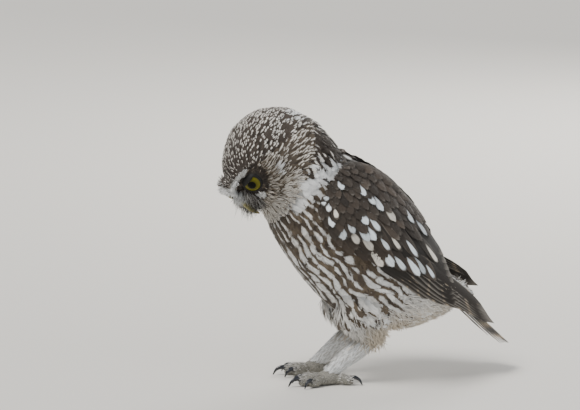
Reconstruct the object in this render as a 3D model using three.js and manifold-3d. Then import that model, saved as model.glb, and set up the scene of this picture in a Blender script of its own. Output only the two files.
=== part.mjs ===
// A little owl standing with its head bent down, life size, in millimetres.
// The body faces -X, its left side is -Y and +Z is up. Nodes that touch keep a gap of 0.3 mm.
import * as THREE from "three";
import { mergeVertices } from "three/addons/utils/BufferGeometryUtils.js";
import Module from "manifold-3d";

const wasm = await Module();
wasm.setup();
const { Manifold, Mesh } = wasm;

// Driving sizes
const GAP = 0.3;
const EYE_RADIUS = 8.4;
const IRIS_RADIUS = 5.7;
const LID_THICKNESS = 1.1;
const STANCE = 17; // half the distance between the feet
const TAIL_LENGTH = 72;
const TAIL_HALF_WIDTH = 16.5;
const VANE_THICKNESS = 0.6;

// Head: where its centre is, how far the bill points below the horizon, and how far it turns to the left
const HEAD_CENTRE = new THREE.Vector3(-55.2, 0, 145.4);
const HEAD_PITCH = 57;
const HEAD_TURN = 25;

const COLOURS = {
  brown: 0x54463a,
  white: 0xd9d3c6,
  bill: 0x8d8a3c,
  claw: 0x2c2f38,
  toe: 0x9c968c,
  iris: 0xb5a92a,
};

const vec = (x, y, z) => new THREE.Vector3(x, y, z);
const degrees = THREE.MathUtils.degToRad;

// Seeded random draws between -1 and 1
function randomSource(seed) {
  let state = seed;
  return () => {
    state = (state * 1664525 + 1013904223) % 4294967296;
    return (state / 4294967296) * 2 - 1;
  };
}

// Value of a list of numbers at t from 0 to 1, on a uniform Catmull-Rom curve
function along(list, t) {
  const last = list.length - 1;
  const place = Math.min(Math.max(t, 0), 1) * last;
  const i = Math.min(Math.floor(place), last - 1);
  const f = place - i;
  const b = list[i];
  const c = list[i + 1];
  const a = i > 0 ? list[i - 1] : 2 * b - c;
  const d = i + 2 <= last ? list[i + 2] : 2 * c - b;
  return b + 0.5 * f * (c - a + f * (2 * a - 5 * b + 4 * c - d + f * (3 * (b - c) + d - a)));
}

function alongPoints(points, t) {
  return vec(...["x", "y", "z"].map((k) => along(points.map((p) => p[k]), t)));
}

// Closed surface through rings of points, each end closed on a pole
function skinOver(rings, startPole, endPole) {
  const n = rings[0].length;
  const points = [startPole, ...rings.flat(), endPole];
  const faces = [];
  for (let k = 0; k < n; k++) {
    const next = (k + 1) % n;
    faces.push(0, 1 + next, 1 + k);
    for (let r = 0; r + 1 < rings.length; r++) {
      const a = 1 + r * n + k;
      const b = 1 + r * n + next;
      faces.push(a, b, b + n, a, b + n, a + n);
    }
    const low = 1 + (rings.length - 1) * n;
    faces.push(low + k, low + next, points.length - 1);
  }
  const geometry = new THREE.BufferGeometry().setFromPoints(points);
  geometry.setIndex(faces);
  return geometry;
}

// A closed solid of a geometry, turned the right way out
function solid(geometry) {
  const g = geometry.clone();
  g.deleteAttribute("normal");
  g.deleteAttribute("uv");
  const merged = mergeVertices(g, 1e-4);
  const make = (triVerts) =>
    new Manifold(new Mesh({ numProp: 3, vertProperties: merged.attributes.position.array, triVerts }));
  const made = make(new Uint32Array(merged.index.array));
  if (made.volume() > 0) return made;
  return make(new Uint32Array(merged.index.array).reverse());
}

function geometryOf(manifold) {
  const mesh = manifold.getMesh();
  const points = new Float32Array(mesh.numVert * 3);
  for (let i = 0; i < mesh.numVert; i++) {
    points.set(mesh.vertProperties.subarray(i * mesh.numProp, i * mesh.numProp + 3), i * 3);
  }
  const geometry = new THREE.BufferGeometry();
  geometry.setAttribute("position", new THREE.BufferAttribute(points, 3));
  geometry.setIndex(new THREE.BufferAttribute(mesh.triVerts, 1));
  geometry.computeVertexNormals();
  return geometry;
}

const joined = (pieces) => Manifold.union(pieces);

// The largest closed surface of a solid, with any hollow that joining sealed filled
function largest(manifold) {
  const bodies = manifold.decompose().filter((b) => b.volume() > 0);
  return bodies.sort((a, b) => b.volume() - a.volume())[0];
}

function cutBy(manifold, others) {
  return others.reduce((left, other) => left.subtract(other), manifold);
}

// All that lies on the side of a plane that its normal points to
function beyond(point, normal) {
  const size = 800;
  const box = new THREE.BoxGeometry(size, size, size);
  box.translate(0, 0, size / 2);
  const turn = new THREE.Quaternion().setFromUnitVectors(vec(0, 0, 1), normal.clone().normalize());
  box.applyQuaternion(turn);
  box.translate(point.x, point.y, point.z);
  return solid(box);
}

function ball(centre, radius, across = 20, down = 14) {
  return solid(new THREE.SphereGeometry(radius, across, down).translate(centre.x, centre.y, centre.z));
}

function egg(centre, radii, basis, across = 18, down = 12) {
  const form = new THREE.SphereGeometry(1, across, down).scale(...radii);
  return solid(form.applyMatrix4(basis).translate(centre.x, centre.y, centre.z));
}

// Round form along a path: each station holds its centre and its two half sizes, across the path
// in the plane of the path and the lift vector, and sideways from it
function limb(stations, lift, sides, steps, grow = 0) {
  const centres = stations.map((s) => vec(...s.at));
  const highs = stations.map((s) => s.high);
  const wides = stations.map((s) => s.wide);
  const rings = [];
  const frames = [];
  for (let i = 0; i <= steps; i++) {
    const t = i / steps;
    const centre = alongPoints(centres, t);
    const ahead = alongPoints(centres, Math.min(t + 0.01, 1));
    const behind = alongPoints(centres, Math.max(t - 0.01, 0));
    const tangent = ahead.sub(behind).normalize();
    const side = new THREE.Vector3().crossVectors(tangent, lift).normalize();
    const up = new THREE.Vector3().crossVectors(side, tangent);
    const high = Math.max(along(highs, t), 0.25) + grow;
    const wide = Math.max(along(wides, t), 0.25) + grow;
    frames.push({ centre, tangent, high });
    rings.push(
      Array.from({ length: sides }, (_, k) => {
        const angle = (2 * Math.PI * k) / sides;
        return centre
          .clone()
          .addScaledVector(up, high * Math.cos(angle))
          .addScaledVector(side, wide * Math.sin(angle));
      }),
    );
  }
  const first = frames[0];
  const last = frames[steps];
  const startPole = first.centre.clone().addScaledVector(first.tangent, -0.35 * first.high);
  const endPole = last.centre.clone().addScaledVector(last.tangent, 0.35 * last.high);
  return solid(skinOver(rings, startPole, endPole));
}

// Body

// From the root of the tail up to the nape: centre, half depth from back to belly, half width
const TRUNK = [
  { at: [87, 0, 49.5], high: 3, wide: 10 },
  { at: [77, 0, 57.5], high: 9.5, wide: 16.5 },
  { at: [60, 0, 59.5], high: 23.5, wide: 25.5 },
  { at: [38, 0, 67], high: 36.5, wide: 33 },
  { at: [19, 0, 82.5], high: 43, wide: 37.5 },
  { at: [2.5, 0, 100], high: 43, wide: 38.5 },
  { at: [-13, 0, 117], high: 39, wide: 36 },
  { at: [-26, 0, 133], high: 34.5, wide: 32 },
  { at: [-36, 0, 149], high: 32.5, wide: 29 },
  { at: [-44, 0, 161.5], high: 28, wide: 26 },
  { at: [-50, 0, 169], high: 19, wide: 19 },
];
const FORWARD = vec(-1, 0, 0);
const trunk = (grow = 0) => limb(TRUNK, FORWARD, 26, 20, grow);
const NECK_PLANE = { at: vec(-20, 0, 124), normal: vec(-0.62, 0, 0.78) };

// Head, in its own frame: x to the bill, y to the bird's left, z to the crown
function headFrame() {
  const pitch = degrees(HEAD_PITCH);
  const turn = degrees(HEAD_TURN);
  const bill = vec(-Math.cos(pitch), 0, -Math.sin(pitch));
  const crown = vec(-Math.sin(pitch), 0, Math.cos(pitch));
  const left = vec(0, -1, 0);
  const x = bill.clone().multiplyScalar(Math.cos(turn)).addScaledVector(left, Math.sin(turn));
  const y = left.clone().multiplyScalar(Math.cos(turn)).addScaledVector(bill, -Math.sin(turn));
  return new THREE.Matrix4().makeBasis(x, y, crown).setPosition(HEAD_CENTRE);
}
const HEAD_FRAME = headFrame();
const HEAD_TURNED = new THREE.Matrix4().extractRotation(HEAD_FRAME);
const inHead = (x, y, z) => vec(x, y, z).applyMatrix4(HEAD_FRAME);
const headWay = (x, y, z) => vec(x, y, z).applyMatrix4(HEAD_TURNED).normalize();

// Rings from the back of the head to the dished face: place, centre height, half width, up and down
const HEAD_RINGS = [
  { x: -45, z: -6, wide: 9, up: 8, down: 8 },
  { x: -42, z: -5, wide: 17.5, up: 15.5, down: 16 },
  { x: -35.5, z: -4, wide: 24, up: 22.5, down: 22 },
  { x: -26, z: -2, wide: 28.5, up: 27, down: 25 },
  { x: -13, z: 0, wide: 30.5, up: 28, down: 26 },
  { x: -1, z: 0, wide: 30.5, up: 26.3, down: 26 },
  { x: 8, z: 0, wide: 28, up: 23.2, down: 24.5 },
  { x: 15, z: 0, wide: 24, up: 19.8, down: 21.5 },
  { x: 20, z: 0, wide: 19.5, up: 16.6, down: 18 },
  { x: 23, z: 0, wide: 14.5, up: 13, down: 13.5 },
  { x: 24.5, z: 0, wide: 9, up: 8.5, down: 9 },
];

function headForm(grow = 0) {
  const sides = 24;
  const squareness = 0.92;
  const power = (v) => Math.sign(v) * Math.abs(v) ** squareness;
  const rings = HEAD_RINGS.map((ring) =>
    Array.from({ length: sides }, (_, k) => {
      const angle = (2 * Math.PI * k) / sides;
      const height = Math.cos(angle) > 0 ? ring.up : ring.down;
      return inHead(
        ring.x + (ring.x > 20 ? grow : 0),
        (ring.wide + grow) * power(Math.sin(angle)),
        ring.z + (height + grow) * power(Math.cos(angle)),
      );
    }),
  );
  return solid(skinOver(rings, inHead(-46.5 - grow, 0, -6), inHead(24.9 + grow, 0, 0)));
}

const EYE_AXIS = { out: 35, up: 4 }; // degrees from the line of the bill
const EYE_PLACE = { x: 15.2, y: 12.6, z: 5.6 };

function eyeSide(side) {
  const out = degrees(EYE_AXIS.out);
  const up = degrees(EYE_AXIS.up);
  return {
    centre: inHead(EYE_PLACE.x, side * EYE_PLACE.y, EYE_PLACE.z),
    axis: headWay(Math.cos(out) * Math.cos(up), side * Math.sin(out), Math.sin(up)),
  };
}

// The opening between the lids: a round bar along the eye's axis, its top cut off by the upper lid
function lidOpening(side) {
  const { centre, axis } = eyeSide(side);
  const length = 22;
  const bar = new THREE.CylinderGeometry(IRIS_RADIUS + 1.6, IRIS_RADIUS + 0.1, length, 16);
  bar.rotateX(Math.PI / 2).translate(0, 0, length / 2 + 3);
  const crown = headWay(0, -0.12 * side, 1);
  const across = new THREE.Vector3().crossVectors(crown, axis).normalize();
  const top = new THREE.Vector3().crossVectors(axis, across);
  const basis = new THREE.Matrix4().makeBasis(across, top, axis);
  bar.applyMatrix4(basis).translate(centre.x, centre.y, centre.z);
  const lidHeight = 0.62 * IRIS_RADIUS;
  return solid(bar).subtract(beyond(centre.clone().addScaledVector(top, lidHeight), top));
}

// White eyebrow, from the root of the bill out over the eye
function brow(side) {
  const stations = [
    { at: [21, 1 * side, 5.5], high: 4.6, wide: 3.4 },
    { at: [21.8, 4 * side, 11.2], high: 4.8, wide: 3.8 },
    { at: [20.2, 10 * side, 13.6], high: 4.6, wide: 3.9 },
    { at: [16, 17 * side, 13.6], high: 3.8, wide: 3.2 },
    { at: [9.5, 22.5 * side, 12], high: 2.4, wide: 2 },
  ].map((s) => ({ ...s, at: inHead(...s.at).toArray() }));
  return limb(stations, headWay(1, 0, 0), 7, 7);
}

// Bristly mound round the root of the bill and the pad below each eye
function muzzle(grow = 0) {
  const middle = egg(inHead(20.5, 0, -1), [6.5 + grow, 7 + grow, 11 + grow], HEAD_TURNED, 12, 8);
  const pads = [1, -1].map((side) => egg(inHead(18.8, 12 * side, -7.5), [5.6 + grow, 8.2 + grow, 5 + grow], HEAD_TURNED, 10, 6));
  return [middle, ...pads];
}

// Bill: the centre line of each half in the head's frame, with half depth and half width
const UPPER_BILL = [
  { at: [16, 0, 2], high: 5.2, wide: 4.9 },
  { at: [21, 0, 2], high: 5, wide: 4.6 },
  { at: [25, 0, 0.4], high: 4.3, wide: 3.8 },
  { at: [27.4, 0, -3.4], high: 3.2, wide: 2.7 },
  { at: [28.8, 0, -8], high: 1.9, wide: 1.5 },
  { at: [28.6, 0, -12.6], high: 0.4, wide: 0.4 },
];
const LOWER_BILL = [
  { at: [16, 0, -4.6], high: 2.2, wide: 3.8 },
  { at: [20.5, 0, -5], high: 2.1, wide: 3.2 },
  { at: [24, 0, -6], high: 1.7, wide: 2.2 },
  { at: [25.8, 0, -7.6], high: 0.7, wide: 0.9 },
];
const headStations = (list) => list.map((s) => ({ ...s, at: inHead(...s.at).toArray() }));
const upperBill = (grow = 0) => limb(headStations(UPPER_BILL), headWay(0.5, 0, 1), 12, 10, grow);
const lowerBill = (grow = 0) => limb(headStations(LOWER_BILL), headWay(0, 0, 1), 10, 6, grow);
const cere = (grow = 0) => egg(inHead(21.6, 0, 2.6), [4.6 + grow, 5.2 + grow, 4.8 + grow], HEAD_TURNED, 10, 6);
const nostril = (side) => egg(inHead(24.4, 3.4 * side, 3.2), [1.1, 1.3, 0.9], HEAD_TURNED, 6, 4);

// Legs

const HEEL = { x: 18, z: 31 };
const ANKLE = { x: -12, z: 7.5 };
const LEG_UP = vec(0.4, 0, 1);

const thigh = (side, grow = 0) =>
  limb(
    [
      { at: [6, 15 * side, 66], high: 17, wide: 14 },
      { at: [10, 17 * side, 51], high: 18.5, wide: 14.5 },
      { at: [15, STANCE * side, 39], high: 14, wide: 12 },
      { at: [HEEL.x, STANCE * side, HEEL.z], high: 8.5, wide: 8 },
    ],
    FORWARD,
    16,
    8,
    grow,
  );
const shank = (side, grow = 0) =>
  limb(
    [
      { at: [HEEL.x + 1, STANCE * side, HEEL.z + 2], high: 7, wide: 6.4 },
      { at: [10, STANCE * side, 25], high: 8, wide: 6.8 },
      { at: [-1, STANCE * side, 16.5], high: 6.8, wide: 6.2 },
      { at: [ANKLE.x, STANCE * side, ANKLE.z + 0.5], high: 5.4, wide: 5.4 },
    ],
    LEG_UP,
    14,
    8,
    grow,
  );

const FLOOR = () => beyond(vec(0, 0, 0), vec(0, 0, 1));
const UPRIGHT = new THREE.Matrix4();
const foot = (side, grow = 0) =>
  egg(vec(ANKLE.x - 1, STANCE * side, 4.6), [8 + grow, 6.6 + grow, 5.2 + grow], UPRIGHT, 14, 8).intersect(FLOOR());

// Toes by heading from straight ahead, outward positive, with their lengths and the claw's length
const TOES = [
  { name: "1", heading: 152, length: 15.5, thick: 3.1, claw: 8 },
  { name: "2", heading: -17, length: 17.5, thick: 3.3, claw: 8.5 },
  { name: "3", heading: 6, length: 21, thick: 3.3, claw: 9.5 },
  { name: "4", heading: 32, length: 17.5, thick: 3.1, claw: 8 },
];

function toeWay(side, heading) {
  const turn = degrees(heading);
  return vec(-Math.cos(turn), Math.sin(turn) * side, 0);
}

function toePoint(side, toe, reach, height) {
  return vec(ANKLE.x, STANCE * side, height).addScaledVector(toeWay(side, toe.heading), reach);
}

// A toe with its knuckles, its underside on the floor
function toeForm(side, toe, grow = 0) {
  const high = toe.thick;
  const shape = [
    { reach: 2, height: 3.6, size: 0.95 },
    { reach: 0.3 * toe.length, height: 3.6, size: 1 },
    { reach: 0.58 * toe.length, height: 4.5, size: 1.05 },
    { reach: 0.84 * toe.length, height: 3.2, size: 1 },
    { reach: toe.length, height: 3.6, size: 0.7 },
  ];
  const stations = shape.map((s) => ({
    at: toePoint(side, toe, s.reach, s.height).toArray(),
    high: high * s.size,
    wide: high * s.size * 0.95,
  }));
  return limb(stations, vec(0, 0, 1), 8, 7, grow).intersect(FLOOR());
}

// A curved claw that leaves the toe's end, arches over and comes down to the floor
function clawForm(side, toe) {
  const reach = toe.length - 1.2;
  const shape = [
    { reach: reach, height: 4.2, size: 1.7 },
    { reach: reach + 0.35 * toe.claw, height: 5.4, size: 1.5 },
    { reach: reach + 0.75 * toe.claw, height: 4, size: 1 },
    { reach: reach + toe.claw, height: 0.1, size: 0.4 },
  ];
  const stations = shape.map((s) => ({
    at: toePoint(side, toe, s.reach, s.height).toArray(),
    high: s.size,
    wide: s.size * 0.8,
  }));
  return limb(stations, vec(0, 0, 1), 6, 5).intersect(FLOOR());
}

// Feathers

// A vane that lies along a path of frames: rows hold how far along, and the share of the half width.
// Its section is a plate with a raised shaft line, leaned so that one edge lies over the next vane.
const COVERT_ROWS = [
  [0, 0.7],
  [0.55, 1],
  [0.9, 0.68],
];
const FLIGHT_ROWS = [
  [0, 0.55],
  [0.4, 1],
  [0.75, 0.95],
  [0.93, 0.62],
];
function vane(frameAt, halfWidth, rows, roll = 0, thickness = VANE_THICKNESS) {
  const ridge = 0.35;
  const rings = rows.map(([s, share]) => {
    const { at, side, up } = frameAt(s);
    const w = halfWidth * share;
    const droop = -0.06 * w;
    const corner = (a, h) => at.clone().addScaledVector(side, a).addScaledVector(up, h);
    const lean = roll * share;
    return [corner(-w, droop - lean), corner(0, ridge), corner(w, droop + lean), corner(0, droop - thickness)];
  });
  const root = frameAt(rows[0][0]);
  const tip = frameAt(1);
  const middle = (f) => f.at.clone().addScaledVector(f.up, -thickness / 2);
  return solid(skinOver(rings, middle(root), middle(tip)));
}

const COVERT_LEAN = 0.5;
const FLIGHT_LEAN = 0.25;

// Wing sheet: three guide lines from the front of the folded wing to its tip, for the left wing
const WING_LOW = [
  [-24, -35, 119], [-12, -41, 98], [10, -42, 84], [34, -37.5, 71.5], [57, -29.5, 56.5], [81, -24.5, 45], [101, -22, 35],
];
const WING_MIDDLE = [
  [-18, -37.5, 135], [-4, -43, 118], [19, -42.5, 104], [42, -36, 88], [63, -26.5, 69], [82, -21.5, 53], [101, -20, 36],
];
const WING_HIGH = [
  [-4, -24, 147], [13, -22, 140], [31, -20, 127], [49, -16.5, 108], [66, -13.5, 84], [84, -15, 61], [101, -18, 38],
];
const LIFTED_WING_RISE = 19; // how much higher the right wing's tip is carried
const LIFTED_WING_INWARD = 5;

// Point of a wing's sheet: a runs from its front to its tip, b from its lower edge to its upper edge
function wingPoint(side, a, b) {
  const lines = [WING_LOW, WING_MIDDLE, WING_HIGH].map((line) =>
    alongPoints(line.map((p) => vec(...p)), a),
  );
  const weights = [2 * (b - 0.5) * (b - 1), 4 * b * (1 - b), 2 * b * (b - 0.5)];
  const point = vec(0, 0, 0);
  lines.forEach((p, i) => point.addScaledVector(p, weights[i]));
  if (side > 0) {
    const rise = Math.max(0, (a - 0.25) / 0.75) ** 1.4;
    point.z += LIFTED_WING_RISE * rise;
    point.y = -point.y - LIFTED_WING_INWARD * rise;
  }
  return point;
}

function wingFrame(side, a, b, height) {
  const step = 0.01;
  const at = wingPoint(side, a, b);
  const ahead = wingPoint(side, a + step, b).sub(wingPoint(side, a - step, b));
  const across = wingPoint(side, a, b + step).sub(wingPoint(side, a, b - step)).normalize();
  const up = new THREE.Vector3().crossVectors(ahead, across).normalize();
  if (up.y * side < 0) up.negate();
  const flat = new THREE.Vector3().crossVectors(up, ahead).normalize();
  return { at: at.addScaledVector(up, height), side: flat, up };
}

// The flesh of the wing under its feathers, a slab that thins towards the rear
function wingCore(side) {
  const lengthSteps = 6;
  const widthSteps = 4;
  const rings = [];
  for (let i = 0; i <= lengthSteps; i++) {
    const a = 0.02 + (0.6 * i) / lengthSteps;
    const thick = 6 - (4.6 * i) / lengthSteps;
    const ring = [];
    for (let j = 0; j <= widthSteps; j++) ring.push(wingFrame(side, a, 0.04 + (0.92 * j) / widthSteps, 0).at);
    for (let j = widthSteps; j >= 0; j--) ring.push(wingFrame(side, a, 0.04 + (0.92 * j) / widthSteps, -thick).at);
    rings.push(ring);
  }
  const start = wingFrame(side, 0.0, 0.5, -3).at;
  const end = wingFrame(side, 0.64, 0.5, -0.7).at;
  return solid(skinOver(rings, start, end));
}

// Tiers of feathers: where the roots sit along the wing, how many lie across it, their length along
// the sheet, their half width and how high their roots and tips stand
const WING_TIERS = [
  { root: 0.0, count: 4, from: 0.1, to: 0.9, length: 0.17, width: 6.8, low: -0.7, high: 1.7 },
  { root: 0.1, count: 5, from: 0.06, to: 0.94, length: 0.18, width: 6.6, low: -0.7, high: 1.7 },
  { root: 0.2, count: 5, from: 0.06, to: 0.94, length: 0.2, width: 7.2, low: -0.7, high: 1.6 },
  { root: 0.31, count: 5, from: 0.07, to: 0.93, length: 0.24, width: 7.4, low: -0.7, high: 1.5 },
];

function wingCoverts(side, random) {
  const vanes = [];
  WING_TIERS.forEach((tier, row) => {
    for (let i = 0; i < tier.count; i++) {
      const share = (i + (row % 2 ? 0.5 : 0.25)) / tier.count;
      const b = tier.from + (tier.to - tier.from) * share + 0.01 * random();
      const a = tier.root + 0.008 * random();
      const length = tier.length * (1 + 0.07 * random());
      const tilt = 0.02 * random();
      const frame = (s) =>
        wingFrame(side, a + length * s, b + tilt * s, tier.low + (tier.high - tier.low) * s);
      vanes.push(vane(frame, tier.width * (1 + 0.06 * random()), COVERT_ROWS, COVERT_LEAN * -side));
    }
  });
  return vanes;
}

// Flight feathers lie in a closed fan, the outermost lowest: where their roots and tips lie on the sheet
const SECONDARIES = { count: 6, rootLow: 0.34, rootHigh: 0.95, tipA: 0.8, tipLow: 0.3, tipHigh: 0.97, width: 7.6 };
const PRIMARIES = { count: 7, rootLow: 0.1, rootHigh: 0.42, tipLow: 0.08, tipHigh: 0.75, width: 5.4 };

function wingFlights(side) {
  const vanes = [];
  for (let i = 0; i < SECONDARIES.count; i++) {
    const f = i / (SECONDARIES.count - 1);
    const rootB = SECONDARIES.rootLow + (SECONDARIES.rootHigh - SECONDARIES.rootLow) * f;
    const tipB = SECONDARIES.tipLow + (SECONDARIES.tipHigh - SECONDARIES.tipLow) * f;
    const tipA = SECONDARIES.tipA - 0.13 * f;
    const frame = (s) =>
      wingFrame(side, 0.44 + (tipA - 0.44) * s, rootB + (tipB - rootB) * s, -0.5 + 0.5 * s + 0.1 * i * s);
    vanes.push(vane(frame, SECONDARIES.width, FLIGHT_ROWS, FLIGHT_LEAN * -side));
  }
  for (let i = 0; i < PRIMARIES.count; i++) {
    const f = i / (PRIMARIES.count - 1);
    const rootB = PRIMARIES.rootLow + (PRIMARIES.rootHigh - PRIMARIES.rootLow) * f;
    const tipB = PRIMARIES.tipLow + (PRIMARIES.tipHigh - PRIMARIES.tipLow) * f;
    const tipA = i < 3 ? 0.72 + 0.11 * i : 1.0 - 0.012 * (i - 3);
    const frame = (s) =>
      wingFrame(side, 0.42 + (tipA - 0.42) * s, rootB + (tipB - rootB) * s, -0.9 - 0.5 * s + 0.12 * i * s);
    vanes.push(vane(frame, PRIMARIES.width - 0.12 * i, FLIGHT_ROWS, FLIGHT_LEAN * -side));
  }
  return vanes;
}

// Tail: twelve feathers folded into a shallow arch, with coverts above and below their roots
const TAIL_ROOT = vec(66, 0, 68);
const TAIL_WAY = vec(0.72, 0, -0.69).normalize();
const TAIL_UP = vec(0.69, 0, 0.72).normalize();

function tailFrame(t, s, height) {
  const half = 7 + (TAIL_HALF_WIDTH - 7 - 3.5) * s;
  const at = TAIL_ROOT.clone()
    .addScaledVector(TAIL_WAY, TAIL_LENGTH * s)
    .addScaledVector(TAIL_UP, height - 2.5 * t * t)
    .add(vec(0, half * t, 0));
  const up = TAIL_UP.clone().add(vec(0, 0.3 * t, 0)).normalize();
  const flow = TAIL_WAY.clone().add(vec(0, (0.06 * t), 0)).normalize();
  return { at, side: new THREE.Vector3().crossVectors(up, flow).normalize(), up };
}

function tail() {
  const pairs = 6;
  const vanes = [];
  for (let i = 0; i < pairs; i++) {
    for (const side of [1, -1]) {
      const t = (side * (i + 0.4)) / pairs;
      const reach = 1 - 0.025 * i;
      const depth = -0.55 * i;
      vanes.push(vane((s) => tailFrame(t, s * reach, depth), 5.2, FLIGHT_ROWS));
    }
  }
  for (const i of [-1.5, -0.5, 0.5, 1.5]) {
    const t = i / 2.4;
    const above = (s) => tailFrame(t, 0.2 + (0.3 - 0.05 * Math.abs(i)) * s, 1.4 - 0.3 * s);
    vanes.push(vane(above, 5.6, COVERT_ROWS));
    const below = (s) => tailFrame(t, 0.2 + (0.4 - 0.05 * Math.abs(i)) * s, -5.2 + 0.6 * s);
    vanes.push(vane(below, 5.6, COVERT_ROWS));
  }
  const rump = limb(
    [
      { at: tailFrame(0, 0, -2.2).at.toArray(), high: 5, wide: 10 },
      { at: tailFrame(0, 0.14, -2.2).at.toArray(), high: 4.6, wide: 11 },
      { at: tailFrame(0, 0.3, -2).at.toArray(), high: 2, wide: 9 },
    ],
    TAIL_UP,
    16,
    5,
  );
  return joined([rump, ...vanes]);
}

// The room that the tail fills, with a gap round it
function tailRoom() {
  const rings = [0, 0.35, 0.7, 1.02].map((s) => {
    const edges = [-1, -0.5, 0, 0.5, 1];
    const place = (t, height) => {
      const f = tailFrame(t, s, height);
      return f.at.add(vec(0, 5.4 * t, 0));
    };
    return [...edges.map((t) => place(t, 1.1)), ...edges.reverse().map((t) => place(t, -5))];
  });
  const start = tailFrame(0, -0.05, -2).at;
  const end = tailFrame(0, 1.06, -2).at;
  return solid(skinOver(rings, start, end));
}

// Putting the bird together

const owl = new THREE.Group();
function addNode(name, manifold, colour, roughness = 0.9) {
  const material = new THREE.MeshStandardMaterial({ color: COLOURS[colour], roughness, metalness: 0 });
  const mesh = new THREE.Mesh(geometryOf(largest(manifold)), material);
  mesh.name = name;
  owl.add(mesh);
}

const sides = [
  { word: "left", y: -1, inHead: 1 },
  { word: "right", y: 1, inHead: -1 },
];
const wholeTrunk = trunk();
const trunkRoom = trunk(GAP);
const headRoom = joined([headForm(GAP), ...muzzle(GAP)]);
const tailSolid = tail().subtract(trunkRoom);
const neckNormal = NECK_PLANE.normal.clone().normalize();
const aboveNeckPlane = beyond(NECK_PLANE.at.clone().addScaledVector(neckNormal, GAP), neckNormal);
const belowNeckPlane = beyond(NECK_PLANE.at, neckNormal.clone().negate());

const headPieces = [headForm(), ...muzzle()];
const headCuts = [upperBill(GAP), lowerBill(GAP), cere(GAP)];
for (const side of sides) {
  const { centre } = eyeSide(side.inHead);
  headPieces.push(brow(side.inHead), ball(centre, EYE_RADIUS + LID_THICKNESS, 14, 10));
  headCuts.push(ball(centre, EYE_RADIUS + GAP, 16, 10), lidOpening(side.inHead));
}
addNode("head", cutBy(joined(headPieces), headCuts), "brown");
addNode("neck", cutBy(wholeTrunk.intersect(aboveNeckPlane), [headRoom]), "brown");
addNode("torso", cutBy(wholeTrunk.intersect(belowNeckPlane), [headRoom]), "white");
addNode("tail", tailSolid, "brown");
addNode("bill_lower", lowerBill(), "bill", 0.4);
addNode("bill_upper", cutBy(upperBill().add(cere()), [lowerBill(GAP), nostril(1), nostril(-1)]), "bill", 0.4);

for (const side of sides) {
  const { centre } = eyeSide(side.inHead);
  addNode(`eye_${side.word}`, ball(centre, EYE_RADIUS, 16, 10), "iris", 0.1);
  addNode(`thigh_${side.word}`, cutBy(thigh(side.y), [trunkRoom]), "white");
  addNode(`shank_${side.word}`, cutBy(shank(side.y), [thigh(side.y, GAP), trunkRoom]), "white");
  addNode(`foot_${side.word}`, cutBy(foot(side.y), [shank(side.y, GAP)]), "toe", 0.7);
  const middleToe = TOES[2];
  for (const toe of TOES) {
    const rooms = [foot(side.y, GAP), shank(side.y, GAP)];
    if (toe !== middleToe) rooms.push(toeForm(side.y, middleToe, GAP));
    const form = cutBy(toeForm(side.y, toe), rooms);
    addNode(`toe_${side.word}_${toe.name}`, form, "toe", 0.7);
    addNode(`claw_${side.word}_${toe.name}`, cutBy(clawForm(side.y, toe), [toeForm(side.y, toe, GAP)]), "claw", 0.3);
  }
  const random = randomSource(side.y > 0 ? 5 : 11);
  const feathers = [wingCore(side.y), ...wingCoverts(side.y, random), ...wingFlights(side.y)];
  const rooms = [trunkRoom, thigh(side.y, GAP), tailRoom(), headRoom];
  addNode(`wing_${side.word}`, cutBy(joined(feathers), rooms), "brown");
}

// The origin is on the floor, under the middle of the whole bird
const reach = new THREE.Box3().setFromObject(owl);
const middle = reach.getCenter(new THREE.Vector3());
owl.position.set(-middle.x, -middle.y, -reach.min.z);

export default owl;
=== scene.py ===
"""A still, life-size little owl that stands bent forward and looks down over its near shoulder.

One skin carries the flesh. Feathers are thin closed vanes in joined meshes over it, and the wings,
tail, eyes, lids, bill, toes and claws are pieces of their own. Shapes are worked out in millimetres,
in the bird's own coordinates: it faces -X, its left side is -Y and the ground is Z = 0.
"""

import bpy
import numpy as np
from bpy.props import FloatProperty, FloatVectorProperty, IntProperty, PointerProperty
from mathutils import Matrix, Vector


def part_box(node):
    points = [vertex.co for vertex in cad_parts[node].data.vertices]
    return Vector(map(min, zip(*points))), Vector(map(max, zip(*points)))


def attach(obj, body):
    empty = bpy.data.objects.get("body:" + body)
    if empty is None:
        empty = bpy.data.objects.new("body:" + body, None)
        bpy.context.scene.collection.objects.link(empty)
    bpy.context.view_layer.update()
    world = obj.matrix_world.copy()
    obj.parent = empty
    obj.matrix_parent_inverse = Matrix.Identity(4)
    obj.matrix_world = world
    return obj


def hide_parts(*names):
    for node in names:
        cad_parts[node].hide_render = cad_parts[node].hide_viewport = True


bl_info = {
    "name": "Little owl",
    "version": (1, 0, 0),
    "blender": (4, 5, 0),
    "location": "3D View > Sidebar > Little owl",
    "description": "Dresses the packed solids of a life-size little owl in skin, feathers and horn",
    "category": "Object",
}

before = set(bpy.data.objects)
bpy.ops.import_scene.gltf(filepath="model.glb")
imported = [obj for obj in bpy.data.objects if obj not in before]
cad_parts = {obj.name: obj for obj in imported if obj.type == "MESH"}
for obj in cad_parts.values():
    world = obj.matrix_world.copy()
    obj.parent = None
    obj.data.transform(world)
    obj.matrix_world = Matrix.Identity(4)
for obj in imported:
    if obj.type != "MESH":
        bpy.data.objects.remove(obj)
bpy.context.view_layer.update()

MM = 0.001
LEFT, RIGHT = -1, 1
SIDES = {"left": LEFT, "right": RIGHT}
HEAD_SIDES = {"left": 1, "right": -1}
UP = np.array([0.0, 0.0, 1.0])
FORWARD = np.array([-1.0, 0.0, 0.0])

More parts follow.
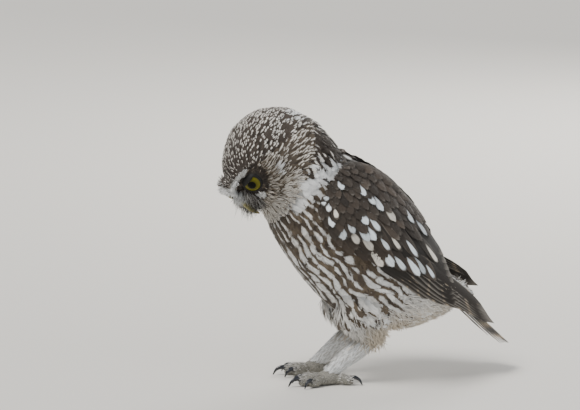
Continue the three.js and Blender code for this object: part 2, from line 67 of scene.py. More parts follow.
# Head, measured in its own frame: x to the bill, y to the left, z to the crown
HEAD_CENTRE = np.array([-55.2, 0.0, 145.4])
HEAD_PITCH, HEAD_TURN = 57.0, 25.0
HEAD_RINGS = np.array([
    [-45, -6, 9, 8, 8], [-42, -5, 17.5, 15.5, 16], [-35.5, -4, 24, 22.5, 22], [-26, -2, 28.5, 27, 25],
    [-13, 0, 30.5, 28, 26], [-1, 0, 30.5, 26.3, 26], [8, 0, 28, 23.2, 24.5], [15, 0, 24, 19.8, 21.5],
    [20, 0, 19.5, 16.6, 18], [23, 0, 14.5, 13, 13.5], [24.5, 0, 9, 8.5, 9]], float)
EYE_CENTRE = np.array([15.2, 12.6, 5.6])
EYE_OUT, EYE_UP = 35.0, 4.0
# The upper lid comes down to this share of the iris's radius, partly the real lid and partly painted shade of the
# brow over the eye
EYE_RADIUS, IRIS_RADIUS, LID_AND_SHADE_TOP = 8.4, 5.7, 0.48
BROW = np.array([[21, 1, 5.5, 4.6, 3.4], [21.8, 4, 11.2, 4.8, 3.8], [20.2, 10, 13.6, 4.6, 3.9],
                 [16, 17, 13.6, 3.8, 3.2], [9.5, 22.5, 12, 2.4, 2]], float)
UPPER_BILL = np.array([[16, 0, 2, 5.2, 4.9], [21, 0, 2, 5, 4.6], [25, 0, 0.4, 4.3, 3.8], [27.4, 0, -3.4, 3.2, 2.7],
                       [28.8, 0, -8, 1.9, 1.5], [28.6, 0, -12.6, 0.4, 0.4]], float)
LOWER_BILL = np.array([[16, 0, -4.6, 2.2, 3.8], [20.5, 0, -5, 2.1, 3.2], [24, 0, -6, 1.7, 2.2],
                       [25.8, 0, -7.6, 0.7, 0.9]], float)

# Trunk and legs: centre, height and width of each ring
TRUNK = np.array([
    [87, 0, 49.5, 3, 10], [77, 0, 57.5, 9.5, 16.5], [60, 0, 59.5, 23.5, 25.5], [38, 0, 67, 36.5, 33],
    [19, 0, 82.5, 43, 37.5], [2.5, 0, 100, 43, 38.5], [-13, 0, 117, 39, 36], [-26, 0, 133, 34.5, 32],
    [-36, 0, 149, 32.5, 29], [-44, 0, 161.5, 28, 26], [-50, 0, 169, 19, 19]], float)
STANCE = 17.0
THIGH = np.array([[6, 15, 66, 17, 14], [10, 17, 51, 18.5, 14.5], [15, 17, 39, 14, 12],
                  [18, 17, 31, 8.5, 8]], float)
SHANK = np.array([[19, 17, 33, 7, 6.4], [10, 17, 25, 8, 6.8], [-1, 17, 16.5, 6.8, 6.2],
                  [-12, 17, 8, 5.4, 5.4]], float)
# Toes: heading from straight ahead, length, thickness and length of the claw
TOES = [(152, 15.5, 3.1, 8), (-17, 17.5, 3.3, 8.5), (6, 21, 3.3, 9.5), (32, 17.5, 3.1, 8)]

# Folded wing: three guide lines from shoulder to tip, low, middle and high
WING_LOW = np.array([[-24, -35, 119], [-12, -41, 98], [10, -42, 84], [34, -37.5, 71.5],
                     [57, -29.5, 56.5], [81, -24.5, 45], [101, -22, 35]], float)
WING_MIDDLE = np.array([[-18, -37.5, 135], [-4, -43, 118], [19, -42.5, 104], [42, -36, 88],
                        [63, -26.5, 69], [82, -21.5, 53], [101, -20, 36]], float)
WING_HIGH = np.array([[-4, -24, 147], [13, -22, 140], [31, -20, 127], [49, -16.5, 108],
                      [66, -13.5, 84], [84, -15, 61], [101, -18, 38]], float)
TAIL_ROOT = np.array([66.0, 0.0, 68.0])
TAIL_WAY = np.array([0.72, 0.0, -0.69])
TAIL_UP = np.array([0.69, 0.0, 0.72])
TAIL_LENGTH, TAIL_HALF_WIDTH = 72.0, 16.5

# Camera: millimetres of the bird per picture point, its direction and what it centres on
CAMERA_TURN, CAMERA_RISE, CAMERA_DISTANCE = 15.0, 10.0, 3000.0
VIEW_WIDTH, VIEW_CENTRE = 388.6, (-33.5, 115.9)
FLOOR_REACH = 9000.0


# ---------------------------------------------------------------- whole-array helpers

def unit(v):
    """Each vector divided by its own length."""
    return v / np.maximum(np.linalg.norm(v, axis=-1, keepdims=True), 1e-9)


def ease(x, low, high):
    """0 up to low and 1 past high, with a smooth step between: 3f^2 - 2f^3."""
    f = np.clip((x - low) / (high - low), 0, 1)
    return f * f * (3 - 2 * f)


def mix(a, b, f):
    """Colours or vectors between a where f is 0 and b where it is 1, with one f for all or one for each."""
    f = np.asarray(f, float)
    return a + (b - a) * (f[..., None] if f.ndim else f)


def curve_at(rows, t):
    """A smooth line through every row, with t from 0 to 1: the cubic through four rows around t."""
    last = len(rows) - 1
    place = np.clip(t, 0, 1) * last
    i = np.minimum(place.astype(int), last - 1)
    f = (place - i)[..., None]
    b, c = rows[i], rows[i + 1]
    a = np.where((i > 0)[..., None], rows[np.maximum(i - 1, 0)], 2 * b - c)
    d = np.where((i + 2 <= last)[..., None], rows[np.minimum(i + 2, last)], 2 * c - b)
    return b + 0.5 * f * (c - a + f * (2 * a - 5 * b + 4 * c - d + f * (3 * (b - c) + d - a)))


def limb(rows, lift, t, angle, grow=0.0):
    """A tube along the rows: centre + up * height * cos(angle) + side * width * sin(angle)."""
    ring = curve_at(rows, t)
    way = unit(curve_at(rows[:, :3], np.minimum(t + 0.01, 1)) - curve_at(rows[:, :3], np.maximum(t - 0.01, 0)))
    side = unit(np.cross(way, lift))
    up = np.cross(side, way)
    high = np.maximum(ring[..., 3], 0.25) + grow
    wide = np.maximum(ring[..., 4], 0.25) + grow
    return ring[..., :3] + up * (high * np.cos(angle))[..., None] + side * (wide * np.sin(angle))[..., None]


def head_axes():
    """Unit rows for the bill's, the left side's and the crown's direction: pitched down, then turned."""
    pitch, turn = np.radians([HEAD_PITCH, HEAD_TURN])
    bill = np.array([-np.cos(pitch), 0, -np.sin(pitch)])
    crown = np.array([-np.sin(pitch), 0, np.cos(pitch)])
    left = np.array([0.0, -1.0, 0.0])
    return np.array([bill * np.cos(turn) + left * np.sin(turn), left * np.cos(turn) - bill * np.sin(turn), crown])


HEAD_AXES = head_axes()


def eye_centre(side):
    """The middle of that side's eyeball in the head's frame."""
    return EYE_CENTRE * np.array([1, side, 1])


def folded(points):
    """Points with both sides laid over each other."""
    return points * [1, 0, 1] + np.abs(points) * [0, 1, 0]


def from_head(points):
    """Head coordinates turned and moved into the bird's."""
    return np.asarray(points, float) @ HEAD_AXES + HEAD_CENTRE


def to_head(points):
    """The bird's coordinates in the head's frame."""
    return (points - HEAD_CENTRE) @ HEAD_AXES.T


def head_ring(t, angle, grow=0.0):
    """The head's surface: ovals along the bill's direction, a little squarer than an ellipse."""
    ring = curve_at(HEAD_RINGS, t)
    c, s = np.cos(angle), np.sin(angle)
    round_off = lambda v: np.sign(v) * np.abs(v) ** 0.92
    high = np.where(c > 0, ring[..., 3], ring[..., 4]) + grow
    return from_head(np.stack([ring[..., 0] + grow * (t * 2 - 1), (ring[..., 2] + grow) * round_off(s),
                               ring[..., 1] + high * round_off(c)], -1))


def wing_at(side, a, b):
    """A point of the folded wing: a runs from shoulder to tip, b from its low edge to its high one.
    The three guide lines are joined across by a parabola, and the far wing lies a little higher."""
    weights = 2 * (b - 0.5) * (b - 1), 4 * b * (1 - b), 2 * b * (b - 0.5)
    beyond = np.maximum(a - 1, 0)[..., None]
    point = sum(curve_at(line, a) * weight[..., None]
                for line, weight in zip((WING_LOW, WING_MIDDLE, WING_HIGH), weights))
    point = point + beyond * np.array([130.0, 10.0, -75.0])
    if side == RIGHT:
        rise = np.maximum(0, (a - 0.25) / 0.75) ** 1.4
        point = point * np.array([1.0, -1.0, 1.0])
        point[..., 2] += 19 * rise
        point[..., 1] -= 5 * rise
    return point


def tail_at(t, s, h):
    """A point of the tail: s along it, t across it from -1 to 1 and h above it, drooping as s squared."""
    half = 7 + (TAIL_HALF_WIDTH - 7) * s
    way, up = unit(TAIL_WAY), unit(TAIL_UP)
    across = np.stack([0 * t, half * t, 0 * t], -1)
    return TAIL_ROOT + way * (TAIL_LENGTH * s)[..., None] + up * (h - 2.5 * t * t)[..., None] + across


def off_path(points, path):
    """Distance of each point from a line of straight pieces."""
    start, step = path[:-1], np.diff(path, axis=0)
    away = points[:, None] - start
    f = np.clip((away * step).sum(-1) / (step * step).sum(-1), 0, 1)
    return np.linalg.norm(away - f[..., None] * step, axis=-1).min(1)


# The frame puts the middle of the bird's box at the origin, so the left eye tells how far it moved
eye_low, eye_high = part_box("eye_left")
SHIFT = np.array((eye_low + eye_high) / 2) / MM - from_head(EYE_CENTRE)


# ---------------------------------------------------------------- meshes

def outward(points, polygons):
    """Turns every polygon round if the volume that they close comes out negative."""
    volume = sum(np.einsum("ij,ij->", points[p[:, 0]], np.cross(points[p[:, k]], points[p[:, k + 1]]))
                 for p in polygons for k in range(1, p.shape[1] - 1))
    return [p[:, ::-1] for p in polygons] if volume < 0 else polygons


def tube_quads(rings, around):
    """The wall of a tube: every ring's points joined to the next ring's."""
    i, j = np.meshgrid(np.arange(rings - 1), np.arange(around), indexing="ij")
    k = (j + 1) % around
    here, ahead = i * around, (i + 1) * around
    return np.stack([here + j, here + k, ahead + k, ahead + j], -1).reshape(-1, 4)


def loft(shape, rings, around):
    """A closed surface: shape(t, angle) on a grid, with a point on the axis closing each end."""
    t, angle = np.meshgrid(np.linspace(0, 1, rings), np.arange(around) / around * 2 * np.pi, indexing="ij")
    grid = shape(t, angle)
    points = np.vstack([grid.reshape(-1, 3), grid[0].mean(0), grid[-1].mean(0)])
    j = np.arange(around)
    k = (j + 1) % around
    last, ends = (rings - 1) * around, rings * around
    caps = np.concatenate([np.stack([k, j, 0 * j + ends], -1),
                           np.stack([last + j, last + k, 0 * j + ends + 1], -1)])
    return points, outward(points, [tube_quads(rings, around), caps])


def joined(forms):
    """Several meshes as one, with the polygon numbers moved on."""
    points, polygons, start = [], [], 0
    for p, faces in forms:
        points.append(p)
        polygons += [f + start for f in faces]
        start += len(p)
    return np.vstack(points), polygons


def egg(centre, radii):
    """A closed egg shape in the head's frame: centre plus each radius times the sphere's own coordinate."""
    def shape(t, angle):
        turn = (0.04 + 0.92 * t) * np.pi
        ball = np.stack([np.cos(turn), np.sin(turn) * np.cos(angle), np.sin(turn) * np.sin(angle)], -1)
        return from_head(np.asarray(centre) + ball * np.asarray(radii))
    return loft(shape, 20, 28)


def read(items, field, width, kind=np.float32):
    """One field of many mesh items as an array with that many columns."""
    values = np.zeros(len(items) * width, kind)
    items.foreach_get(field, values)
    return values.reshape(-1, width)


def mesh_points(mesh):
    """The mesh's points, in the bird's own millimetres."""
    return read(mesh.vertices, "co", 3).astype(float) / MM - SHIFT


def set_points(mesh, points):
    """Gives the mesh its points from the bird's own millimetres."""
    mesh.vertices.foreach_set("co", ((points + SHIFT) * MM).astype(np.float32).ravel())


def make_mesh(name, points, polygons, crisp=None):
    """A smooth Blender mesh from millimetre points and arrays of polygons, in metres in the row frame.
    Edges that bend by more than crisp are shaded sharp."""
    mesh = bpy.data.meshes.new(name)
    loops = np.concatenate([p.ravel() for p in polygons])
    corners = np.concatenate([np.full(len(p), p.shape[1]) for p in polygons])
    mesh.vertices.add(len(points))
    mesh.loops.add(len(loops))
    mesh.polygons.add(len(corners))
    set_points(mesh, points)
    mesh.loops.foreach_set("vertex_index", loops.astype(np.int32))
    mesh.polygons.foreach_set("loop_start", (np.cumsum(corners) - corners).astype(np.int32))
    mesh.polygons.foreach_set("use_smooth", np.full(len(corners), True))
    mesh.update(calc_edges=True)
    mesh.validate()
    if crisp:
        mesh.set_sharp_from_angle(angle=crisp)
    return mesh


def linked(name, data):
    """A new object in the scene."""
    thing = bpy.data.objects.new(name, data)
    bpy.context.scene.collection.objects.link(thing)
    return thing


def add_piece(name, mesh, material, replaces=()):
    """Links the piece, gives it its material, and lets it ride on the one body."""
    piece = linked(name, mesh)
    mesh.materials.append(material)
    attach(piece, "root")
    if replaces:
        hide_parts(*replaces)
    return piece


def point_layer(mesh, name, values):
    """Stores one colour or vector for every point, for the material to read."""
    values = np.asarray(values, np.float32)
    if name in ("ground", "mark", "cells"):
        if values.shape[1] == 3:
            values = np.hstack([values, np.ones((len(values), 1), np.float32)])
        mesh.attributes.new(name, "FLOAT_COLOR", "POINT").data.foreach_set("color", values.ravel())
    else:
        mesh.attributes.new(name, "FLOAT_VECTOR", "POINT").data.foreach_set("vector", values.ravel())


def along_layer(mesh, along):
    """Stores how far along its horn each point is."""
    point_layer(mesh, "ring", np.stack([along, along, along], -1))


def bake_layer(mesh, per_point):
    """Writes the unwrap named OFBake, one place for each corner, from one place for each point."""
    corner = read(mesh.loops, "vertex_index", 1, np.int32)[:, 0]
    mesh.uv_layers.new(name="OFBake").uv.foreach_set("vector", np.asarray(per_point, np.float32)[corner].ravel())


# ---------------------------------------------------------------- materials

class Term:
    """A node's output that plain arithmetic turns into further nodes."""

    def __init__(self, shade, socket):
        self.shade, self.socket = shade, socket

    def __add__(self, other):
        return self.shade.math("ADD", self, other)

    def __sub__(self, other):
        return self.shade.math("SUBTRACT", self, other)

    def __mul__(self, other):
        return self.shade.math("MULTIPLY", self, other)

    def __truediv__(self, other):
        return self.shade.math("DIVIDE", self, other)


class Shade:
    """Short names for the nodes of one material."""

    def __init__(self, name):
        self.material = bpy.data.materials.new(name)
        self.material.use_nodes = True
        self.tree = self.material.node_tree
        self.shader = self.tree.nodes["Principled BSDF"]

    def plug(self, socket, value):
        value = value.socket if isinstance(value, Term) else value
        if isinstance(value, bpy.types.NodeSocket):
            self.tree.links.new(value, socket)
        else:
            socket.default_value = value

    def node(self, kind, inputs=(), **settings):
        """A node with its settings, and its inputs by number or name."""
        made = self.tree.nodes.new(kind)
        for key, value in settings.items():
            setattr(made, key, value)
        for key, value in (inputs.items() if isinstance(inputs, dict) else enumerate(inputs)):
            self.plug(made.inputs[key], value)
        return made

    def term(self, kind, inputs=(), output=0, **settings):
        return Term(self, self.node(kind, inputs, **settings).outputs[output])

    def math(self, operation, *values):
        return self.term("ShaderNodeMath", values, operation=operation)

    def step(self, value, low, high, out_low=0.0, out_high=1.0):
        return self.term("ShaderNodeMapRange", (value, low, high, out_low, out_high),
                         interpolation_type="SMOOTHSTEP")

    def blend(self, a, b, factor):
        return self.term("ShaderNodeMix", {0: factor, 6: a, 7: b}, 2, data_type="RGBA", blend_type="MIX")

    def scale(self, colour, value):
        return self.term("ShaderNodeVectorMath", {0: colour, "Scale": value}, operation="SCALE")

    def layer(self, name, output="Vector"):
        return self.term("ShaderNodeAttribute", (), output, attribute_name=name)

    def split(self, vector):
        made = self.node("ShaderNodeSeparateXYZ", (vector,))
        return [Term(self, socket) for socket in made.outputs]

    def place(self):
        return self.term("ShaderNodeTexCoord", (), "Object")

    def noise(self, vector, scale, detail=3.0, rough=0.55, output="Fac"):
        inputs = {"Vector": vector, "Scale": scale, "Detail": detail, "Roughness": rough}
        return self.term("ShaderNodeTexNoise", inputs, output)

    def egg_reach(self, along, sideways, wide):
        """0 in the middle of an egg-shaped drop and 1 at its edge: the root of along squared plus
        sideways over its width squared, with the width from 0.55 at the near end to 1.15 at the far one."""
        narrow = self.math("MAXIMUM", self.math("MINIMUM", along, 1.0), -1.0) * 0.3 + 0.85
        sideways = sideways / (narrow * wide)
        return self.math("SQRT", along * along + sideways * sideways)

    def streaks(self, ripple):
        """How far the streak colour shows: all but pale drops laid like bricks over the trunk. Each cell
        holds one drop, moved a little at random, round to the tail and narrow to the neck."""
        x, y, amount = self.split(self.layer("cells"))
        to_side, to_tail, _ = self.split(self.noise(self.layer("cells"), 0.8, 1.5, 0.5, "Color"))
        x = x + (to_side - 0.5) * DRIFT[0]
        y = y + (to_tail - 0.5) * DRIFT[1]
        column = self.math("FLOOR", x)
        y = y + self.math("FRACT", column * 0.5)
        row = self.math("FLOOR", y)
        cell = self.term("ShaderNodeCombineXYZ", (column, row))
        first, second, third = self.split(
            self.term("ShaderNodeTexWhiteNoise", {"Vector": cell}, "Color", noise_dimensions="3D"))
        across = x - column - (first * 0.2 + 0.4)
        along = y - row - (second * 0.1 + 0.45)
        reach = self.egg_reach(along / DROP_HALF[1], across, DROP_HALF[0]) + (ripple - 0.5) * 1.7
        present = self.math("GREATER_THAN", third, amount - 1.0)
        size = self.layer("cells", "Alpha") * present * (second * 0.6 + 0.66)
        low, high = size * 0.9, size * 1.1 + 0.02
        shown = self.math("MINIMUM", amount, 1.0)
        return self.step(reach, low, high) * shown, self.step(reach, size * 0.55, low) * shown

    def bump(self, height, strength, distance):
        inputs = {"Strength": strength, "Distance": distance, "Height": height}
        self.plug(self.shader.inputs["Normal"], self.term("ShaderNodeBump", inputs))

    def finish(self, colour, **constants):
        self.plug(self.shader.inputs["Base Color"], colour)
        for key, value in constants.items():
            self.shader.inputs[key.replace("_", " ")].default_value = value
        return self.material


# Streaks: drift of the cells to side and tail, and half a drop's width and length, in cells
DRIFT, DROP_HALF = (1.5, 2.2), (0.39, 0.61)


def feather_material(name):
    """A vane: ground colour, one soft-edged drop or streak, bars, pale fringe, shaft and fine barbs, with a root
    darkened partly for its greyer base and partly by painted shade.
    """
    s = Shade(name)
    u, v, _ = s.split(s.layer("vane"))
    spot_v, spot_wide, spot_long = s.split(s.layer("spot"))
    tone, fringe, bars = s.split(s.layer("trait"))
    across = s.math("ABSOLUTE", u - 0.5) * 2.0
    stretched = s.term("ShaderNodeVectorMath", (s.layer("vane"), (9.0, 2.2, 3.0)), operation="MULTIPLY")
    ripple = s.noise(stretched, 1.6, 3.0, 0.65)
    wander = (ripple - 0.5) * 0.8
    reach = s.egg_reach((v - spot_v) / spot_long, across, spot_wide) + wander
    drop, rim = s.step(reach, 1.12, 0.85), s.step(reach, 1.3, 1.0)
    # Bars cross the web; where their number is below zero they are only notches at its edge
    count = s.math("ABSOLUTE", bars)
    inner = s.step(bars, -0.1, 0.1, 0.72, 0.1)
    gap = s.step(bars, -0.1, 0.1, 0.72, 0.3)
    wave = s.math("SINE", (v + across * -0.08) * (count * 6.2832)) + wander
    barred = s.step(wave - gap, 0.0, 0.4) * s.step(count, 0.4, 0.6) * s.step(across - inner, 0.0, 0.2)
    ground, mark = s.layer("ground", "Color"), s.layer("mark", "Color")
    colour = s.blend(ground, s.blend(ground, mark, 0.5), rim)
    streak, edge = s.streaks(ripple)
    colour = s.blend(colour, s.blend(ground, mark, 0.22), edge)
    colour = s.blend(colour, mark, s.math("MAXIMUM", s.math("MAXIMUM", drop, barred), streak))
    border = s.math("MAXIMUM", s.step(across, 0.72, 1.0), s.step(v, 0.88, 1.0))
    colour = s.blend(colour, PALE_FRINGE, border * fringe)
    # Fine barbs run forward from the shaft
    lines = s.math("SINE", (v - across * 0.35) * 140.0) * 0.4 + ripple * 2.4
    # Darker toward the root, partly its greyer base and partly painted shade under the feathers above; darker along
    # the shaft, and scaled by barbs and a random tone
    shade = s.step(v, 0.1, 0.9, 0.6, 1.04) * s.step(across, 0.0, 0.07, 0.82, 1.0) * (lines * 0.2 + 0.76) * tone
    s.bump(lines, 0.25, 0.0003)
    return s.finish(s.scale(colour, shade), Roughness=0.72, Specular_IOR_Level=0.25, Sheen_Weight=0.12,
                    Sheen_Roughness=0.5)


PALE_FRINGE = (0.62, 0.57, 0.5, 1)


def opaque(colour, share=1.0):
    """A colour times the share, with the fourth value that sockets take."""
    return tuple(share * c for c in colour[:3]) + (1,)


def plain_material(name, colour, second, scale, bump=0.2, depth=0.0003, **constants):
    """Two close tones in a fine noise over the object's own place, with a little relief."""
    s = Shade(name)
    grain = s.noise(s.place(), scale, 4.0)
    s.bump(grain, bump, depth)
    return s.finish(s.blend(opaque(colour), opaque(second), grain), **constants)


def iris_material(colour):
    """Pupil, yellow iris with fine rays, a dark rim and a black ball behind it, under a wet coat."""
    s = Shade("owl_eye")
    ring = s.split(s.layer("ring"))[0]
    rays = s.noise(s.layer("ring"), 18.0, 4.0, 0.7)
    yellow = s.blend(opaque(colour, 0.45), opaque(colour), s.step(ring + rays * 0.35, 0.55, 1.0))
    rimmed = s.blend(yellow, (0.006, 0.005, 0.004, 1), s.step(ring, 0.9, 1.02))
    return s.finish(s.blend((0.003, 0.003, 0.003, 1), rimmed, s.step(ring, 0.44, 0.5)), Roughness=0.06,
                    Specular_IOR_Level=0.08)


def skin_material():
    """Down that shows between the feathers, in the tone of the coat above it, darker: partly the down's greyer tone
    and partly painted shade between the feathers.
    """
    s = Shade("owl_skin")
    grain = s.noise(s.place(), 700.0, 4.0)
    s.bump(grain, 0.5, 0.0006)
    colour = s.blend(s.layer("ground", "Color"), s.layer("mark", "Color"), s.streaks(grain)[0])
    # The grain darkens the down to about two thirds on average, partly its own tone and partly painted shade
    return s.finish(s.scale(colour, grain * 0.7 + 0.35), Roughness=0.85)


def bill_material(colour):
    """Horn that goes from a dull base to a clear, slightly darker tip, streaked along the growth."""
    s = Shade("owl_bill")
    along = s.split(s.layer("ring"))[0]
    streak = s.noise(s.place(), 900.0, 3.0)
    mixed = s.blend(opaque(colour), opaque(colour, 0.55), s.step(along, 0.55, 1.0))
    mixed = s.blend(mixed, (0.11, 0.1, 0.07, 1), s.step(along, 0.35, 0.0) * 0.8)
    s.bump(streak, 0.15, 0.0002)
    return s.finish(s.scale(mixed, streak * 0.5 + 0.75), Roughness=0.32, Subsurface_Weight=0.05,
                    Coat_Weight=0.25, Coat_Roughness=0.25)


def claw_material(colour):
    """Blue-black horn, paler at its root and glossy to the tip."""
    s = Shade("owl_claw")
    along = s.split(s.layer("ring"))[0]
    streak = s.noise(s.place(), 700.0, 3.0)
    s.bump(streak, 0.1, 0.0002)
    mixed = s.blend((0.12, 0.12, 0.12, 1), opaque(colour), s.step(along, 0.05, 0.35))
    return s.finish(s.scale(mixed, streak * 0.5 + 0.75), Roughness=0.22, Coat_Weight=0.4, Coat_Roughness=0.15)


def toe_material(colour):
    """Dull grey-brown skin in small plates."""
    s = Shade("owl_toe")
    plates = s.term("ShaderNodeTexVoronoi", {"Vector": s.place(), "Scale": 900.0}, "Distance",
                    feature="DISTANCE_TO_EDGE")
    edge = s.step(plates, 0.0, 0.16)
    s.bump(edge, 0.5, 0.0004)
    return s.finish(s.blend(opaque(colour, 0.55), opaque(colour, 1.25), edge), Roughness=0.6)


# ---------------------------------------------------------------- feathers

def plumes(rng, root, along, out, length, half, depth, bend, rows, chevron=0.55, ragged=0.1, point=1.0,
           widest=0.6, thick=0.1, sway=0.1, teeth=0.0):
    """Thin closed vanes, one for each root. A centre line leaves the skin along the lie, rises to the
    coat's depth and bends back with the body as length squared over twice the radius. Each row has a
    left, top, right and bottom point, with the edges swept forward and ragged, every other row drawn in
    by teeth, and the tip is one point. Gives a batch: points, their vane places and the number of rows."""
    n = len(root)
    column = lambda v: np.broadcast_to(np.asarray(v, float), (n,))[:, None]
    length, half, depth, bend = column(length), column(half), column(depth), column(bend)
    s = np.asarray(rows)[None]
    side = np.cross(out, along)
    lean = rng.normal(0, sway, (n, 1))
    height = -0.5 + depth * s ** 0.75 * 1.1 - (length * s) ** 2 / (2 * bend)
    way, normal, cross = along[:, None], out[:, None], side[:, None]
    centre = (root[:, None] + way * (length * s)[..., None] + normal * height[..., None]
              + cross * (lean * length * s * s)[..., None])
    rising = np.sqrt(np.clip(1 - (1 - np.minimum(s / widest, 1)) ** 2, 0, 1)) * 0.85 + 0.15
    falling = np.sqrt(np.clip(1 - (np.maximum(s - widest, 0) / (1 - widest)) ** (1 + point), 0, 1))
    width = half * rising * falling
    width = width * (1 + rng.uniform(-ragged, ragged, (n, s.shape[1])))
    width = width * (1 - teeth * (np.arange(s.shape[1]) % 2) * (s > 0.3))
    sweep = np.minimum(chevron * width, np.maximum(length * (1.0 - s) * 0.9, 0))
    drop = 0.1 * width + width ** 2 / 60
    edge = centre + way * sweep[..., None] - normal * drop[..., None]
    left = edge - cross * width[..., None]
    right = edge + cross * width[..., None]
    bottom = centre - normal * (thick * np.minimum(1, 2.2 * (1 - s)))[..., None]
    body = np.stack([left, centre, right, bottom], 2)[:, :-1]
    tip = centre[:, -1:]
    points = np.concatenate([body.reshape(n, -1, 3), tip], 1)
    u = 0.5 * width / np.maximum(half, 1e-6)
    v = s + sweep / length
    flat = lambda a, b: np.stack([a, b], -1)
    middle = flat(np.full_like(u, 0.5), np.broadcast_to(s, u.shape))
    vane = np.stack([flat(0.5 - u, v), middle, flat(0.5 + u, v), middle], 2)[:, :-1].reshape(n, -1, 2)
    vane = np.concatenate([vane, np.broadcast_to([[[0.5, 1.0]]], (n, 1, 2))], 1)
    return {"points": points, "vane": vane, "rows": len(rows)}


def plume_faces(count, rows):
    """The polygons of that many vanes of equal rows: a cap at the root, four walls, and four at the tip."""
    quads = [[3, 2, 1, 0]]
    for i in range(rows - 2):
        for j in range(4):
            k = (j + 1) % 4
            quads.append([4 * i + j, 4 * i + k, 4 * i + 4 + k, 4 * i + 4 + j])
    last, tip = 4 * (rows - 2), 4 * (rows - 1)
    tips = [[last + j, last + (j + 1) % 4, tip] for j in range(4)]
    start = (np.arange(count) * (tip + 1))[:, None, None]
    return (np.array(quads)[None] + start).reshape(-1, 4), (np.array(tips)[None] + start).reshape(-1, 3)


def barbs(rng, lines, seats, count, fine, forward=0.9, low=0.3, beyond=1.08, lift=0.1):
    """Loose barbs over vanes: count thin blades on each, from the shaft out past the edge and forward.
    lines are the middle, left and right lines, (n, rows, 3), and seats the vane places of the three."""
    middle, left, right = lines
    n, rows = middle.shape[:2]
    q = rng.uniform(low, 0.985, (n, count)) * (rows - 1)
    i = np.minimum(q.astype(int), rows - 2)
    f = (q - i)[..., None]
    each = np.arange(n)[:, None]
    pick = lambda a: a[each, i] * (1 - f) + a[each, i + 1] * f
    side = np.where(np.arange(count) % 2, 1.0, -1.0)[None, :, None]
    start = pick(middle)
    edge = np.where(side > 0, pick(right), pick(left))
    ahead = unit(middle[each, i + 1] - middle[each, i])
    normal = unit(np.cross(ahead, pick(right) - pick(left) + 1e-6 * UP))
    wide = np.linalg.norm(edge - start, axis=-1, keepdims=True) + 0.25
    total = np.linalg.norm(middle[:, -1] - middle[:, 0], axis=-1)[:, None, None]
    reach = (edge - start) * beyond + ahead * wide * forward * rng.uniform(0.7, 1.3, (n, count, 1))
    across = unit(np.cross(normal, reach))
    seat, seat_edge = pick(seats[0]), np.where(side > 0, pick(seats[2]), pick(seats[1]))
    body, vane = [], []
    for s, half in ((0.0, 0.8), (0.55, 1.0), (1.0, 0.0)):
        at = seat + (seat_edge - seat) * s
        at = np.concatenate([at[..., :1], at[..., 1:] + s * forward * wide / total], -1)
        vane += [np.clip(at, 0, 1)] * (4 if half else 1)
        if half:
            at = start + reach * s + normal * (lift + 0.12 * s)
            thick = normal * 0.05
            body += [at - across * fine * half, at + thick, at + across * fine * half, at - thick]
    body.append(start + reach + normal * (lift - 0.05))
    return {"points": np.stack(body, 2).reshape(n * count, 9, 3), "rows": 3,
            "vane": np.stack(vane, 2).reshape(n * count, 9, 2)}


MARKS = ("ground", "mark", "spot", "trait")


def kept(batch, count, *keys):
    """The markings and other rows of a batch, count times over, for what grows on it."""
    return {key: np.repeat(batch[key], count, axis=0) for key in MARKS + keys if key in batch}


def barb_batch(rng, batch, count, fine):
    """Barbs for a batch of plumes, which keep the plumes' markings, seeds and places."""
    row = lambda a, k: np.concatenate([a[:, k:-1:4], a[:, -1:]], 1)
    made = barbs(rng, [row(batch["points"], k) for k in (1, 0, 2)], [row(batch["vane"], k) for k in (1, 0, 2)],
                 count, fine)
    return {**made, "seed": np.repeat(seeds(batch), count), **kept(batch, count, "place", "root", "zone")}


def seeds(batch):
    """One number for each vane, so that no two have the same grain."""
    return batch["seed"] if "seed" in batch else np.arange(len(batch["points"])) * 0.37 % 11


SOFT_ROWS = (0.0, 0.25, 0.45, 0.62, 0.77, 0.9, 1.0)
VANE_CRISP = 1.0
FINE_ROWS = (0.0, 0.3, 0.6, 0.85, 1.0)
HAIR_ROWS = (0.0, 0.35, 0.72, 1.0)
PATCH = 0.003


class Layers:
    """Points, polygons, places on the unwrap and markings of one piece, gathered batch by batch."""

    def __init__(self):
        self.points, self.faces, self.bake, self.start = [], [], [], 0
        self.marks = {key: [] for key in MARKS + ("vane", "cells")}

    def add(self, batch, points, faces, vane, bake, seed):
        """One batch: points and vane places (n, each, k), and one row of markings for each vane."""
        n, each = points.shape[:2]
        self.points.append(points.reshape(-1, 3))
        self.faces += [polygons + self.start for polygons in faces]
        self.bake.append(bake.reshape(-1, 2))
        for key in MARKS:
            self.marks[key].append(np.repeat(batch[key], each, axis=0))
        seed = np.broadcast_to(seed[:, None, None], (n, each, 1))
        self.marks["vane"].append(np.concatenate([vane, seed], -1).reshape(-1, 3))
        cells = body_cells(batch["root"], points, batch["zone"]) if "zone" in batch else np.zeros((n, each, 4))
        self.marks["cells"].append(cells.reshape(-1, 4))
        self.start += n * each

    def piece(self, name, slot, replaces=(), turn=False):
        """The piece, with turn to have its polygons turned outwards as one."""
        points = np.vstack(self.points)
        points[:, 2] = np.maximum(points[:, 2], 0.05)
        mesh = make_mesh(name, points, outward(points, self.faces) if turn else self.faces, VANE_CRISP)
        for key, values in self.marks.items():
            point_layer(mesh, key, np.vstack(values))
        bake_layer(mesh, np.vstack(self.bake))
        return add_piece(name, mesh, plumage(slot), replaces)


def coat_piece(name, batches, slot):
    """Joins batches of small vanes into one piece. Each is a small patch at its root's place on the
    skin's unwrap."""
    layers = Layers()
    for batch in batches:
        bake = batch["place"][:, None] + (batch["vane"] - 0.5) * PATCH
        layers.add(batch, batch["points"], plume_faces(len(batch["points"]), batch["rows"]), batch["vane"], bake,
                   seeds(batch))
    layers.piece(name, slot, turn=True)


def coat_pieces(name, batches, slot):
    """As many pieces as keep each under the limit of triangles."""
    for i, group in enumerate(split_batches(batches)):
        coat_piece(f"{name}_{i + 1}", group, slot)


MOST_TRIANGLES = 190000


